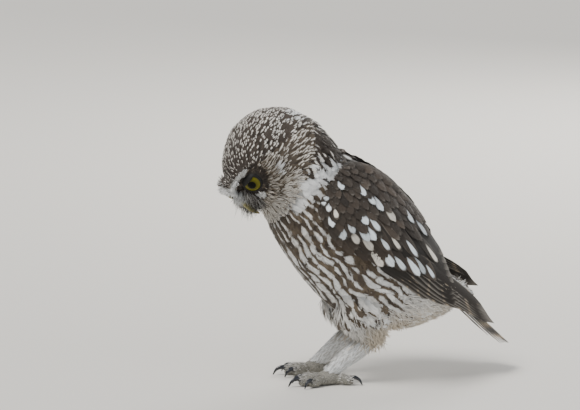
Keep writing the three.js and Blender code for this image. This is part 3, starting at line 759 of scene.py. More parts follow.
def split_batches(batches):
    """Groups batches so that each piece stays under the limit of triangles, cutting long ones."""
    groups, now, total = [], [], 0
    for batch in batches:
        per = 2 + 8 * (batch["rows"] - 2) + 4
        n, at = len(batch["points"]), 0
        while at < n:
            take = min(n - at, (MOST_TRIANGLES - total) // per)
            if take <= 0:
                groups.append(now)
                now, total = [], 0
                continue
            now.append(picked(batch, slice(at, at + take)))
            total += take * per
            at += take
    if now:
        groups.append(now)
    return groups


# ---------------------------------------------------------------- skin and roots

SKIN = {}


def mirror_rows(rows, side):
    """Rows of centre, height and width on that side of the bird or of the head."""
    return rows * np.array([1, side, 1, 1, 1])


def skin_forms():
    """Closed tubes for trunk, head, brows, muzzle and legs, drawn in by the coat's depth."""
    forms = [loft(lambda t, a: limb(TRUNK, FORWARD, t, a, -3.0 + 1.2 * np.abs(2 * t - 1)), 60, 56),
             loft(lambda t, a: head_ring(t, a, -2.0), 48, 56)]
    for side in HEAD_SIDES.values():
        brow = mirror_rows(BROW, side)
        forms.append(loft(lambda t, a: from_head(limb(brow, UP, t, a, -1.6)), 24, 20))
        forms.append(egg((18.4, 11.6 * side, -7.5), (4.4, 7, 4)))
    forms.append(egg((19.6, 0, -1), (5.6, 6, 9.6)))
    for side in SIDES.values():
        thigh, shank = mirror_rows(THIGH, side), mirror_rows(SHANK, side)
        forms.append(loft(lambda t, a: limb(thigh, FORWARD, t, a, -2.4), 30, 32))
        forms.append(loft(lambda t, a: limb(shank, UP, t, a, -1.3), 30, 28))
    return joined(forms)


def eye_axes(side):
    """The eye's outlook, its sideways direction and its up direction, in the head's frame."""
    out, up = np.radians([EYE_OUT, EYE_UP])
    look = np.array([np.cos(out) * np.cos(up), side * np.sin(out) * np.cos(up), np.sin(up)])
    across = unit(np.cross([0, 0, 1.0], look))
    return look, across, np.cross(look, across)


def eye_view(local, side):
    """From the middle of that side's eye to points of the head's frame: the way, how far, and how much
    of it is along the eye's outlook."""
    away = local - eye_centre(side)
    far = np.linalg.norm(away, axis=-1)
    return away, far, (away @ eye_axes(side)[0]) / np.maximum(far, 1e-6)


def open_sockets(points):
    """Moves skin points out of the way of each eye: onto a wall around it, or behind its front."""
    local = to_head(points)
    for side in HEAD_SIDES.values():
        away, far, facing = eye_view(local, side)
        front = ease(facing, 0.58, 0.72)
        wall = 9.3 * (1 - front) + 6.6 * front
        in_front = (facing > 0.2) & (far < 14)
        target = np.where(far < wall, wall, np.where(in_front & (front > 0), far + (wall - far) * front, far))
        near = far < 14
        local[near] = (eye_centre(side) + away / np.maximum(far, 1e-6)[:, None] * target[:, None])[near]
    return from_head(local)


def build_skin(grain):
    """Remeshes the tubes into one skin, opens the eye sockets and unwraps it."""
    rough = linked("skin_forms", make_mesh("skin_forms", *skin_forms()))
    remesh = rough.modifiers.new("one_skin", "REMESH")
    remesh.mode, remesh.voxel_size = "VOXEL", grain
    smooth = rough.modifiers.new("soften", "SMOOTH")
    smooth.factor, smooth.iterations = 0.5, 8
    graph = bpy.context.evaluated_depsgraph_get()
    mesh = bpy.data.meshes.new_from_object(rough.evaluated_get(graph))
    bpy.data.objects.remove(rough)
    mesh.name = "skin"
    set_points(mesh, open_sockets(mesh_points(mesh)))
    mesh.polygons.foreach_set("use_smooth", np.full(len(mesh.polygons), True))
    mesh.update()
    skin = linked("skin", mesh)
    bpy.context.view_layer.objects.active = skin
    skin.select_set(True)
    mesh.uv_layers.new(name="OFBake")
    bpy.ops.object.mode_set(mode="EDIT")
    bpy.ops.mesh.select_all(action="SELECT")
    bpy.ops.uv.smart_project(angle_limit=1.15, island_margin=0.004)
    bpy.ops.object.mode_set(mode="OBJECT")
    skin.select_set(False)
    return skin


def keep_triangles(mesh):
    """The skin as arrays: corner points, corner normals, corner places on the unwrap and areas."""
    mesh.calc_loop_triangles()
    corner = read(mesh.loop_triangles, "vertices", 3, np.int32)
    loop = read(mesh.loop_triangles, "loops", 3, np.int32)
    co = mesh_points(mesh)[corner]
    area = np.linalg.norm(np.cross(co[:, 1] - co[:, 0], co[:, 2] - co[:, 0]), axis=1) / 2
    return {"co": co, "normal": read(mesh.vertices, "normal", 3)[corner].astype(float), "area": area,
            "place": read(mesh.uv_layers["OFBake"].uv, "vector", 2)[loop].astype(float)}


def thinned(rng, points, spacing):
    """Keeps one point in each cell of a grid, then of the same grid moved by half a cell."""
    keep = rng.permutation(len(points))
    for move in (0.0, 0.5, 0.25):
        cell = np.floor(points[keep] / spacing + move).astype(np.int64)
        code = cell @ np.array([1, 100003, 10000600009])
        keep = keep[np.unique(code, return_index=True)[1]]
    return keep


def roots(seed, spacing, wanted):
    """Roots spread evenly over the part of the skin where wanted(points) is true."""
    rng = np.random.default_rng(seed)
    area = SKIN["area"]
    share = np.cumsum(area) / area.sum()
    count = int(area.sum() / spacing ** 2 * 7)
    pick = np.searchsorted(share, rng.random(count))
    a, b = np.sqrt(rng.random(count)), rng.random(count)
    weights = np.stack([1 - a, a * (1 - b), a * b], -1)[..., None]
    point = (SKIN["co"][pick] * weights).sum(1)
    normal = unit((SKIN["normal"][pick] * weights).sum(1))
    place = (SKIN["place"][pick] * weights).sum(1)
    good = wanted(point)
    point, normal, place = point[good], normal[good], place[good]
    keep = thinned(rng, point, spacing)
    return rng, point[keep], normal[keep], place[keep]


# Axis of the trunk, for the way that its feathers lie and the place of its markings
AXIS_T = np.linspace(0, 1, 240)
AXIS = curve_at(TRUNK[:, :3], AXIS_T)
AXIS_WAY = unit(np.gradient(AXIS, axis=0))


def axis_frame(points, every=1):
    """The nearest place on the trunk's axis, the axis's direction to the neck, side and up there, the
    point's way from it, and its turn about it from the front."""
    away = points[:, None] - AXIS[None, ::every]
    i = (away * away).sum(-1).argmin(1) * every
    way = AXIS_WAY[i]
    side = unit(np.cross(way, FORWARD))
    up = np.cross(side, way)
    rel = points - AXIS[i]
    return i, way, side, up, rel, np.arctan2((rel * side).sum(1), (rel * up).sum(1))


def trunk_place(points):
    """How far along the trunk a point is, from tail 0 to neck 1, its turn from the front in degrees,
    and the direction to the tail there."""
    i, way, _, _, _, angle = axis_frame(points)
    return AXIS_T[i], np.degrees(np.abs(angle)), -way


CELL_WIDE, CELL_LONG, CELL_ROUND = 5.7, 10.4, 36.0
AXIS_REACH = np.concatenate([[0], np.cumsum(np.linalg.norm(np.diff(AXIS, axis=0), axis=1))])


def body_cells(root, points, zone):
    """Where points (n, k, 3) of feathers with these roots lie among the streaks' cells: the turn about
    the trunk's axis times one radius, and the length from neck to tail, each over the cell's size and
    straight in the root's own frame. zone adds the amount of streaks and the size of the pale drops."""
    i, way, side, up, rel, angle = axis_frame(root, 3)
    round_way = (side * np.cos(angle)[:, None] - up * np.sin(angle)[:, None]) * np.sign(angle)[:, None]
    radius = np.maximum(np.linalg.norm(rel - way * (rel * way).sum(1)[:, None], axis=1), 12)
    step = points - root[:, None]
    x = np.abs(angle)[:, None] * CELL_ROUND + (step * round_way[:, None]).sum(-1) * (CELL_ROUND / radius)[:, None]
    y = (AXIS_REACH[-1] - AXIS_REACH[i] - (rel * way).sum(1))[:, None] - (step * way[:, None]).sum(-1)
    x, y = x / CELL_WIDE, y / CELL_LONG
    x = x + 0.25 * np.sin(1.9 * y) + np.where(root[:, 1] > 0, 40.0, 0.0)[:, None]
    return np.stack([x, y, *(np.broadcast_to(zone[:, k, None], x.shape) for k in (0, 1))], -1)


def headness(points):
    """1 on the head and 0 on the trunk, by distance from the middle of the skull, out to brows and bill."""
    local = to_head(points)
    far = np.linalg.norm(local - np.array([-10.0, 0, -1.0]), axis=1)
    face = ease(local[:, 0], 6, 12) * ease(local[:, 2], -26, -20) * ease(far, 50, 46)
    return np.maximum(ease(far, 38, 33), face)


def legness(points):
    """1 on the shanks, 0 on the body, by height and distance from the leg's line."""
    return ease(off_path(folded(points), SHANK[:, :3]), 12, 9) * ease(points[:, 2], 34, 27)


def thighness(points):
    """1 on the fluffy thighs below the belly."""
    return ease(off_path(folded(points), THIGH[1:, :3]), 24, 16) * ease(points[:, 2], 60, 44)


def lie(points, normals):
    """The way that feathers point: back from the bill on the head, out from the eyes on the face, to
    the tail on the trunk and down the legs, laid into the skin's own plane."""
    local = to_head(points)
    head = headness(points)
    from_bill = unit(local - np.array([25.0, 0, 3.0]))
    eye = EYE_CENTRE * np.stack([np.ones(len(local)), np.where(local[:, 1] < 0, -1, 1), np.ones(len(local))], -1)
    from_eye = local - eye
    near_eye = ease(np.linalg.norm(from_eye, axis=1), 17, 11) * 0.75
    on_head = (mix(from_bill, unit(from_eye), near_eye)) @ HEAD_AXES
    _, _, tailward = trunk_place(points)
    leg = legness(points)[:, None]
    thigh = thighness(points)[:, None]
    down_shank = unit(SHANK[-1, :3] - SHANK[0, :3]) * np.array([1, 0, 1])
    down_thigh = unit(np.array([0.5, 0.0, -1.0]))
    body = tailward * (1 - thigh) + down_thigh * thigh
    body = body * (1 - leg) + down_shank * leg
    way = on_head * head[:, None] + body * (1 - head[:, None])
    way = way - normals * (way * normals).sum(1)[:, None]
    return unit(way)


def jitter(rng, way, normals, amount):
    """The lie turned a little about the skin's normal, by a random angle for each root."""
    angle = rng.normal(0, amount, len(way))[:, None]
    return unit(way * np.cos(angle) + np.cross(normals, way) * np.sin(angle))


# ---------------------------------------------------------------- markings

def palette():
    """The coat's colours as arrays."""
    return {key: np.array(getattr(colours(), key)[:3]) for key in COAT_COLOURS}


COAT_COLOURS = ("white", "shaded_wing_white", "cream", "buff", "brown", "dark", "crown")


def marked(n, ground, mark, spot, tone, fringe=0.0, bars=0.0):
    """One row of markings for each vane."""
    return {"ground": np.broadcast_to(ground, (n, 3)).copy(), "mark": np.broadcast_to(mark, (n, 3)).copy(),
            "spot": np.broadcast_to(spot, (n, 3)).copy(),
            "trait": np.stack([tone, np.broadcast_to(fringe, (n,)), np.broadcast_to(bars, (n,))], -1)}


def set_where(plan, mask, **values):
    """Overwrites markings where mask is true; each value is one row or one for each vane."""
    for key, value in values.items():
        value = np.asarray(value, float)
        plan[key][mask] = value[mask] if value.ndim == 2 else value


NO_SPOT = (0.7, 0.01, 0.01)
COLLAR_T = np.array([0.70, 0.71, 0.72, 0.726, 0.732, 0.732, 0.722, 0.706, 0.672, 0.655, 0.655])
COLLAR_ANGLE = np.array([0, 43, 57, 70, 82, 109, 118, 130, 148, 164, 180.0])


def trunk_markings(rng, seen, paints):
    """Markings of trunk feathers from where their tips show: white collar, streaked breast and flanks,
    plain belly, and a brown back with scattered pale drops. zone holds the amount of streaks, with over
    1 the share of drops that are missing, and the size of the pale drops, under 1 where brown wins."""
    n = len(seen)
    t, angle, _ = trunk_place(seen)
    white, cream, buff, brown, dark = (paints[k] for k in ("white", "cream", "buff", "brown", "dark"))
    chance = rng.random(n)
    plan = marked(n, white, mix(brown, buff, 0.22 * rng.random(n)), NO_SPOT, rng.uniform(0.78, 1.12, n))
    size = 0.88 - 0.1 * ease(angle, 75, 100)
    size = size + 0.2 * ease(t, 0.42, 0.34) + 0.8 * ease(t, 0.3, 0.22) - 0.2 * ease(t, 0.54, 0.64)
    amount = 1 + 0.12 * ease(t, 0.3, 0.36)
    upper = (t > 0.58) & (angle < 115)
    set_where(plan, upper, ground=mix(white, cream, 0.4 * rng.random(n)))
    low = (seen[:, 2] < 60) & (angle < 105)
    set_where(plan, low, ground=mix(white, cream, 0.3 * rng.random(n)))
    # Back, rump and nape
    back = (angle >= 112) & (t < 0.66)
    set_where(plan, back, mark=brown * 0.85)
    size[back], amount[back] = 0.72, 1.62
    nape = (t > 0.7) & (angle >= 80)
    set_where(plan, nape, ground=mix(cream, white, 0.6), mark=mix(brown, dark, 0.4))
    size[nape], amount[nape] = 0.6, 1.45
    # White collar, torn at its edges
    middle = np.interp(angle, COLLAR_ANGLE, COLLAR_T)
    wide = 0.03 * ease(angle, 20, 60) + 0.006 + 0.009 * rng.normal(size=n)
    collar = (np.abs(t - middle) < wide) & (angle > 25)
    set_where(plan, collar, ground=white)
    amount[collar & (chance < 0.92)] = 0
    plan["zone"] = np.stack([amount, size], -1)
    return plan


BROW_LINE = np.array([[23.0, 0, 9.5], [23.6, 4, 13.0], [21.4, 10, 15.0], [17, 17, 14.6], [10, 23.5, 12.5]])


def head_markings(rng, seen, paints):
    """Markings of the head from where the tips show: small pale drops in rows on the crown, white
    brows, a streaked grey-brown face, dark lores and pale patches under and behind the eye."""
    n = len(seen)
    local = to_head(seen)
    x, y, z = local[:, 0], np.abs(local[:, 1]), local[:, 2]
    white, cream, buff, brown, crown = (paints[k] for k in ("white", "cream", "buff", "brown", "crown"))
    chance = rng.random(n)
    tone = rng.uniform(0.8, 1.12, n)
    drop = np.stack([rng.uniform(0.72, 0.84, n), rng.uniform(0.3, 0.44, n), rng.uniform(0.13, 0.21, n)], -1)
    plan = marked(n, mix(crown, brown, 0.6 * rng.random(n)), mix(cream, white, 0.6), drop, tone)
    set_where(plan, chance > 0.8, spot=NO_SPOT)
    # Side of the head: longer pale streaks
    below = z < np.interp(x, CROWN_X, CROWN_Z)
    stripe = np.stack([rng.uniform(0.65, 0.85, n), rng.uniform(0.2, 0.4, n), rng.uniform(0.25, 0.45, n)], -1)
    set_where(plan, below & (x < 8), spot=stripe, ground=mix(crown, buff, 0.12), mark=mix(cream, white, 0.5))
    set_where(plan, below & (x < 8) & (chance > 0.75), spot=NO_SPOT)
    # Face: grey-brown with pale shafts, darkest between eye and bill
    face = below & (x > 4)
    grey = mix(brown, buff, 0.18)
    set_where(plan, face, ground=grey, mark=mix(cream, white, 0.3) * 0.8, spot=stripe * [1, 0.8, 0.8])
    set_where(plan, face & (chance < 0.36), ground=mix(cream, white, 0.4) * 0.75)
    folded = np.stack([x, y, z], -1)
    lores = off_path(folded, np.array([[23.5, 5.0, 6.0], [22.5, 8.0, 0.0]]))
    set_where(plan, face & (lores < 5), ground=brown * 0.55, mark=brown)
    rim = np.linalg.norm(folded - EYE_CENTRE, axis=1)
    set_where(plan, face & (rim < 12.5) & (chance < 0.8), ground=brown * 0.6, mark=brown)
    brow = off_path(folded, BROW_LINE[:-1])
    set_where(plan, (brow < 1.5) & (chance < 0.85), ground=white, mark=crown, spot=NO_SPOT)
    under = off_path(folded, np.array([[24.0, 6.5, -3.5], [21.0, 13.0, -5.5]]))
    set_where(plan, (under < 2.6) & (chance < 0.93), ground=white, mark=brown, spot=NO_SPOT)
    ear = off_path(folded, np.array([[3.0, 29.0, -2.5], [7.0, 27.0, -7.5]]))
    set_where(plan, (ear < 2.0) & (chance < 0.85), ground=white, mark=brown, spot=NO_SPOT)
    throat = (z < -15) & (x > 0)
    set_where(plan, throat & (chance < 0.7), ground=mix(white, cream, 0.5), mark=brown, spot=(0.8, 0.15, 0.3))
    # Rear of the crown: larger white drops
    rear = ease(off_path(folded, np.array([[-34.0, 25.0, 3.0], [-41.0, 19.0, -3.0]])), 8, 4)
    wide = np.stack([np.full(n, 0.7), 0.36 + 0.26 * rear, 0.2 + 0.16 * rear], -1)
    set_where(plan, (rear > 0.2) & (chance < 0.7), mark=white, spot=wide)
    # Dark patch on each side of the nape
    nape = off_path(folded, np.array([[-40.0, 17.0, -17.0], [-34.0, 22.0, -22.0]])) < 8
    set_where(plan, nape, ground=brown * 0.8, spot=NO_SPOT)
    set_where(plan, nape & (chance < 0.12), mark=white, spot=(0.65, 0.7, 0.35))
    return plan


def skin_paint(mesh, points, paints):
    """The coat's markings on the skin, darker, partly for the greyer down and partly as painted shade between the
    feathers: ground and streak colours and the streaks' cells, with the head's own ground colour, and pale on the
    legs."""
    rng = np.random.default_rng(3)
    body, face = trunk_markings(rng, points, paints), head_markings(rng, points, paints)
    head = headness(points)
    pale = np.maximum(legness(points), thighness(points))
    ground = mix(mix(body["ground"], face["ground"], head), mix(paints["white"], paints["cream"], 0.3), pale)
    zone = body["zone"] * np.stack([(1 - head) * (1 - pale), np.ones(len(points))], -1)
    # Painted shade in part: the down is taken to three quarters of the coat's ground, and to a little over it on the
    # pale legs
    point_layer(mesh, "ground", ground * (0.75 + 0.35 * pale)[:, None])
    point_layer(mesh, "mark", body["mark"] * 0.75)
    point_layer(mesh, "cells", body_cells(points, points[:, None], zone)[:, 0])


def no_eye(points):
    """True away from the opening of either eye."""
    clear = np.full(len(points), True)
    for side in HEAD_SIDES.values():
        _, far, facing = eye_view(to_head(points), side)
        clear &= ~((facing > 0.58) & (far < 10.2))
    return clear


def no_bill(points):
    """True away from where the bill leaves the face."""
    local = to_head(points)
    return ~((np.abs(local[:, 1]) < 4.6) & (local[:, 0] > 17) & (local[:, 2] < 5.5) & (local[:, 2] > -8.5))


# ---------------------------------------------------------------- settings

def spacing_field(name, default):
    """Millimetres from root to root of one kind of feather."""
    return FloatProperty(name=f"{name} spacing", description=f"Millimetres between feathers of the {name.lower()}",
                         default=default, min=0.5, max=6.0)


class OwlSizes(bpy.types.PropertyGroup):
    """Sizes that a user would change."""
    skin_grain: FloatProperty(name="Skin grain", description="Cell of the grid that joins the skin",
                              default=0.0013, min=0.0008, max=0.004, unit="LENGTH")
    crown_spacing: spacing_field("Crown", 1.7)
    neck_spacing: spacing_field("Neck", 2.2)
    breast_spacing: spacing_field("Breast", 2.9)
    face_spacing: spacing_field("Face", 0.95)
    down_spacing: spacing_field("Thigh", 1.15)
    leg_spacing: spacing_field("Leg", 1.0)
    seed: IntProperty(name="Seed", description="Start of the random draws", default=7)


def colour_field(name, description, value):
    """A colour that shows as a swatch."""
    return FloatVectorProperty(name=name, description=description, subtype="COLOR", size=3, default=value,
                               min=0, max=1)


class OwlColours(bpy.types.PropertyGroup):
    """Colours of coat and horn."""
    white: colour_field("White", "Brows, collar, breast and legs", (0.83, 0.835, 0.83))
    # Painted shade: the wing's drops are a bluish grey, their white as it looks under the sky's light in shade
    shaded_wing_white: colour_field("Wing white", "Drops of the wing", (0.66, 0.72, 0.76))
    cream: colour_field("Cream", "Drops on the crown", (0.68, 0.60, 0.48))
    buff: colour_field("Buff", "Notches of the flight feathers", (0.46, 0.36, 0.24))
    brown: colour_field("Brown", "Streaks and mantle", (0.058, 0.044, 0.034))
    dark: colour_field("Dark brown", "Flight feathers and nape", (0.028, 0.023, 0.019))
    crown: colour_field("Crown brown", "Ground of the crown", (0.075, 0.060, 0.050))
    # Painted shade: the iris is a dark olive rather than its own bright yellow, as if in the brow's shadow
    iris: colour_field("Iris", "Yellow of the eye", (0.125, 0.115, 0.012))
    bill: colour_field("Bill", "Horn of the bill", (0.22, 0.20, 0.065))
    claw: colour_field("Claw", "Horn of the claws", (0.012, 0.014, 0.02))
    toe: colour_field("Toe", "Skin of the toes", (0.24, 0.23, 0.2))
    floor: colour_field("Floor", "Plain floor", (0.72, 0.70, 0.66))


def sizes():
    return bpy.context.scene.owl_sizes


def colours():
    return bpy.context.scene.owl_colours


MATERIALS = {}


def plumage(slot):
    """One feather material for each plumage slot, named after it."""
    if slot not in MATERIALS:
        MATERIALS[slot] = feather_material(slot)
    return MATERIALS[slot]


# ---------------------------------------------------------------- operators

class OWL_OT_skin(bpy.types.Operator):
    """Joins trunk, neck, head and legs into one skin and keeps its triangles for the coat"""
    bl_idname = "owl.skin"
    bl_label = "Skin"

    def execute(self, context):
        skin = build_skin(sizes().skin_grain)
        SKIN.update(keep_triangles(skin.data))
        skin_paint(skin.data, mesh_points(skin.data), palette())
        skin.data.materials.append(skin_material())
        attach(skin, "root")
        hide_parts("head", "neck", "torso",
                    *[f"{part}_{side}" for part in ("thigh", "shank") for side in SIDES])
        return {"FINISHED"}


class OWL_OT_head_coat(bpy.types.Operator):
    """Feathers of crown and cheeks, finer tufts of the face and bristles around the bill"""
    bl_idname = "owl.head_coat"
    bl_label = "Head coat"

    def execute(self, context):
        paints = palette()
        rng, root, out, place = roots(sizes().seed, sizes().crown_spacing,
                                      lambda p: (headness(p) > 0.5) & ~face_area(p, -1.5) & no_eye(p) & no_bill(p))
        forward = to_head(root)[:, 0]
        back, front = ease(-forward, -22, 34), ease(forward, 7, 19)
        length = (5.0 + 5.0 * back) * (1 - 0.35 * front)
        half = (1.1 + 0.7 * back) * (1 - 0.4 * front)
        way = jitter(rng, lie(root, out), out, 0.08)
        crown = {**plumes(rng, root, way, out, length, half, 1.7, 30.0, SOFT_ROWS, point=0.5, teeth=0.25),
                 "place": place, **head_markings(rng, root + way * (length * 0.75)[:, None], paints)}
        crown = picked(crown, clear_of_eyes(crown["points"]))
        batches = [crown, barb_batch(rng, crown, 4, 0.12)]
        # Fine tufts of the face, short beside the eye
        rng, root, out, place = roots(sizes().seed + 1, sizes().face_spacing,
                                      lambda p: face_area(p) & no_eye(p) & no_bill(p))
        way = unit(jitter(rng, lie(root, out), out, 0.2) + out * 0.12)
        length = 3.0 + 3.5 * ease(np.linalg.norm(folded(to_head(root)) - EYE_CENTRE, axis=1), 10.5, 16)
        face = {**plumes(rng, root, way, out, length, 0.4, 1.3, 26.0, FINE_ROWS, ragged=0.15, point=0.2,
                         widest=0.4, thick=0.08),
                "place": place, **head_markings(rng, root + way * (length * 0.7)[:, None], paints)}
        batches.append(picked(face, clear_of_eyes(face["points"])))
        coat_pieces("head_coat", batches + bristles(paints), "head_plumage")
        return {"FINISHED"}


# Lower edge of the crown: its height over the head's middle at each place along the head
CROWN_X, CROWN_Z = [-40, -10, 5, 14, 22], [-12, 2, 9, 14.5, 13.5]


def face_area(points, margin=0.0):
    """True on the face between brows, cheeks and throat, wider by the margin."""
    local = to_head(points)
    under_crown = local[:, 2] < np.interp(local[:, 0], CROWN_X, CROWN_Z) + margin
    return (headness(points) > 0.5) & (local[:, 0] > 4 - margin) & under_crown & (local[:, 2] > -19 - margin)


def clear_of_eyes(points):
    """True for each vane of points (n, k, 3) that no part of an eye's opening lies behind."""
    local = to_head(points)
    clear = np.ones(len(points), bool)
    for side in HEAD_SIDES.values():
        away, far, facing = eye_view(local, side)
        clear &= ~((facing > 0.7) & (far < 26) & (away @ eye_axes(side)[2] < 0.45 * far)).any(1)
    return clear


def picked(batch, keep):
    """The batch with only the vanes where keep is true."""
    return {k: v[keep] if isinstance(v, np.ndarray) else v for k, v in batch.items()}


def bristles(paints):
    """Bristles that hang over the bill's root, long dark whiskers, and the white tufts of the brows."""
    made = []
    rng = np.random.default_rng(31)
    spread = lambda n, *spans: np.stack([sign * rng.uniform(low, high, n) for low, high, sign in spans], -1)
    for side in HEAD_SIDES.values():
        # Lores: forward and down over both sides of the bill
        n = 1500
        a, b = rng.random(n), rng.random(n)
        root = np.stack([22.5 + 1.5 * b - 1.5 * a, side * (3.8 + 4.8 * a * a), 6.5 - 12.0 * b], -1)
        way = unit(np.stack([0.85 - 0.3 * b, side * (0.22 - 0.12 * b), -0.5 - 0.5 * b], -1)
                   + rng.normal(0, 0.12, (n, 3)))
        dim = np.clip(rng.normal(0.66, 0.34, n) + 0.3 * (a - 0.5), 0, 1)
        tint = mix(mix(paints["white"], paints["cream"], 0.3) * 0.9, paints["brown"] * 0.7, dim)
        made.append(bristle_batch(rng, root, way, rng.uniform(5.5, 9.5, n), 0.15, tint))
        # Bridge: over the ridge of the bill
        n = 420
        root = spread(n, (22.5, 25, 1), (0, 4.4, side), (2.5, 7.5, 1))
        way = unit(np.array([0.85, 0.22 * side, -0.42]) + rng.normal(0, 0.12, (n, 3)))
        made.append(bristle_batch(rng, root, way, rng.uniform(4.0, 7.0, n), 0.16,
                                  paints["white"] * rng.uniform(0.35, 1.1, (n, 1))))
        # Whiskers: few, long and dark
        n = 80
        root = spread(n, (21, 24, 1), (2, 7, side), (-5, 4, 1))
        way = unit(np.stack([np.full(n, 1.0), side * rng.uniform(0, 0.5, n), rng.uniform(-1.1, -0.1, n)], -1))
        made.append(bristle_batch(rng, root, way, rng.uniform(9, 15, n), 0.1, WHISKER))
        # Brow tufts: along the brow from the bill's root to over the eye
        n = 760
        t = 0.78 * rng.random(n)
        rows = mirror_rows(BROW, side)
        base = curve_at(rows, t)
        ahead = unit(curve_at(rows[:, :3], np.minimum(t + 0.05, 1))
                     - curve_at(rows[:, :3], np.maximum(t - 0.05, 0)))
        ring = rng.uniform(0.1, 0.9, n)
        off = np.stack([base[:, 3] * np.cos(ring), 0 * ring, base[:, 3] * np.sin(ring)], -1)
        away = np.stack([0.5 - 0.5 * t, side * (0.05 + 0.3 * t), 0.12 + 0 * t], -1)
        away = away + np.array([1.5, 0.0, -0.5]) * ((t < 0.55) & (rng.random(n) < 0.45))[:, None]
        way = unit(ahead + away + rng.normal(0, 0.13, (n, 3)))
        tint = mix(paints["white"], paints["brown"], rng.uniform(0.4, 0.9, n) * (rng.random(n) < 0.1 + 0.2 * t))
        length = rng.uniform(3.0, 5.2, n) * (1 - 0.3 * t)
        made.append(bristle_batch(rng, base[:, :3] + 0.6 * off, way, length, 0.2, tint))
    return [picked(batch, clear_of_eyes(batch["points"])) for batch in made]


WHISKER = np.array([0.03, 0.028, 0.025])


def small_places(n, start, step, across, down=400):
    """Places on the unwrap, row after row, for vanes that have no root on the skin."""
    number = np.arange(n)
    return start + step * np.stack([number % across, number // across % down], -1)


def bristle_batch(rng, root, way, length, half, colour):
    """Narrow blades from head coordinates; they stand on the plane square to their own way."""
    root, way = from_head(root), way @ HEAD_AXES
    out = unit(np.cross(way, np.cross(np.array([[-0.25, -0.95, 0.2]]), way)))
    n = len(root)
    return {**plumes(rng, root, way, out, length, half, 0.6, 24.0, HAIR_ROWS, ragged=0.1, point=0.2, widest=0.25,
                     thick=0.08, sway=0.2),
            "place": small_places(n, 0.02, 0.004, 12, 30),
            **marked(n, colour, colour, NO_SPOT, rng.uniform(0.85, 1.1, n))}


class OWL_OT_body_coat(bpy.types.Operator):
    """Feathers of neck, breast, flanks, belly and back, small above and large below"""
    bl_idname = "owl.body_coat"
    bl_label = "Body coat"

    def execute(self, context):
        batches = []
        for number, spacing in enumerate((sizes().neck_spacing, sizes().breast_spacing)):
            rng, root, out, place = roots(sizes().seed + 2 + 10 * number, spacing,
                                          lambda p: trunk_area(p) & ((trunk_place(p)[0] < 0.6) == bool(number)))
            t = trunk_place(root)[0]
            large = ease(t, 0.72, 0.5)
            length, half = 9.5 + 5.5 * large, 2.0 + 1.6 * large
            loose = 0.03 + 0.1 * ease(root[:, 2], 70, 45)
            way = unit(jitter(rng, lie(root, out), out, 0.1) + out * loose[:, None])
            batches.append({**plumes(rng, root, way, out, length, half, 2.8 - 0.5 * ease(t, 0.7, 0.9), 40.0,
                                     SOFT_ROWS, point=0.6, teeth=0.2),
                            "place": place, "root": root,
                            **trunk_markings(rng, root + way * (length * 0.75)[:, None], palette())})
            batches.append(barb_batch(rng, batches[-1], 7, 0.17))
        coat_pieces("body_coat", batches, "body_plumage")
        return {"FINISHED"}


def trunk_area(points):
    """True on the trunk, off the head, the thighs' down and the shanks."""
    return (headness(points) <= 0.5) & (legness(points) < 0.5) & (thighness(points) < 0.6) & (points[:, 0] < 79)


class OWL_OT_leg_coat(bpy.types.Operator):
    """Loose down of thighs and vent, and short white feathers of the shanks"""
    bl_idname = "owl.leg_coat"
    bl_label = "Leg coat"

    def execute(self, context):
        white, cream, buff = (palette()[key] for key in ("white", "cream", "buff"))
        # Loose down, more buff and darker toward the vent below and behind the legs, partly its own buff and partly
        # painted shade under the belly
        rng, root, out, place = roots(sizes().seed + 3, sizes().down_spacing, fluffy_area)
        n = len(root)
        way = unit(jitter(rng, lie(root, out), out, 0.3) + out * 0.35)
        low = ease(root[:, 2], 58, 40) * ease(root[:, 0], 2, 14)
        warm = mix(mix(white, cream, 0.3), mix(cream, buff, 0.35), 0.9 * low)
        batches = [{**plumes(rng, root, way, out, rng.uniform(8, 13, n), 0.45, 2.2, 30.0, FINE_ROWS, point=0.2,
                             widest=0.3, ragged=0.25, sway=0.25),
                    "place": place, **marked(n, warm, buff, NO_SPOT, rng.uniform(0.8, 1.08, n))}]
        # Shanks, their tone above one as painted light, brighter than the breast's white as if in sun
        rng, root, out, place = roots(sizes().seed + 4, sizes().leg_spacing, lambda p: legness(p) > 0.4)
        n = len(root)
        way = unit(jitter(rng, lie(root, out), out, 0.22) + out * 0.12)
        batches.append({**plumes(rng, root, way, out, rng.uniform(4.5, 6.5, n), 0.4, 1.2, 14.0, FINE_ROWS, point=0.2,
                                 widest=0.3, ragged=0.2),
                        "place": place, **marked(n, white, cream, NO_SPOT, rng.uniform(0.98, 1.15, n))})
        coat_pieces("leg_coat", batches, "leg_plumage")
        return {"FINISHED"}


def fluffy_area(points):
    """True on the thighs, the lower belly and the vent."""
    t, angle, _ = trunk_place(points)
    vent = (t < 0.3) & (angle < 110) & (points[:, 2] < 62)
    return ((thighness(points) > 0.3) | vent) & (legness(points) < 0.6) & (points[:, 0] < 80)


# ---------------------------------------------------------------- wings and tail

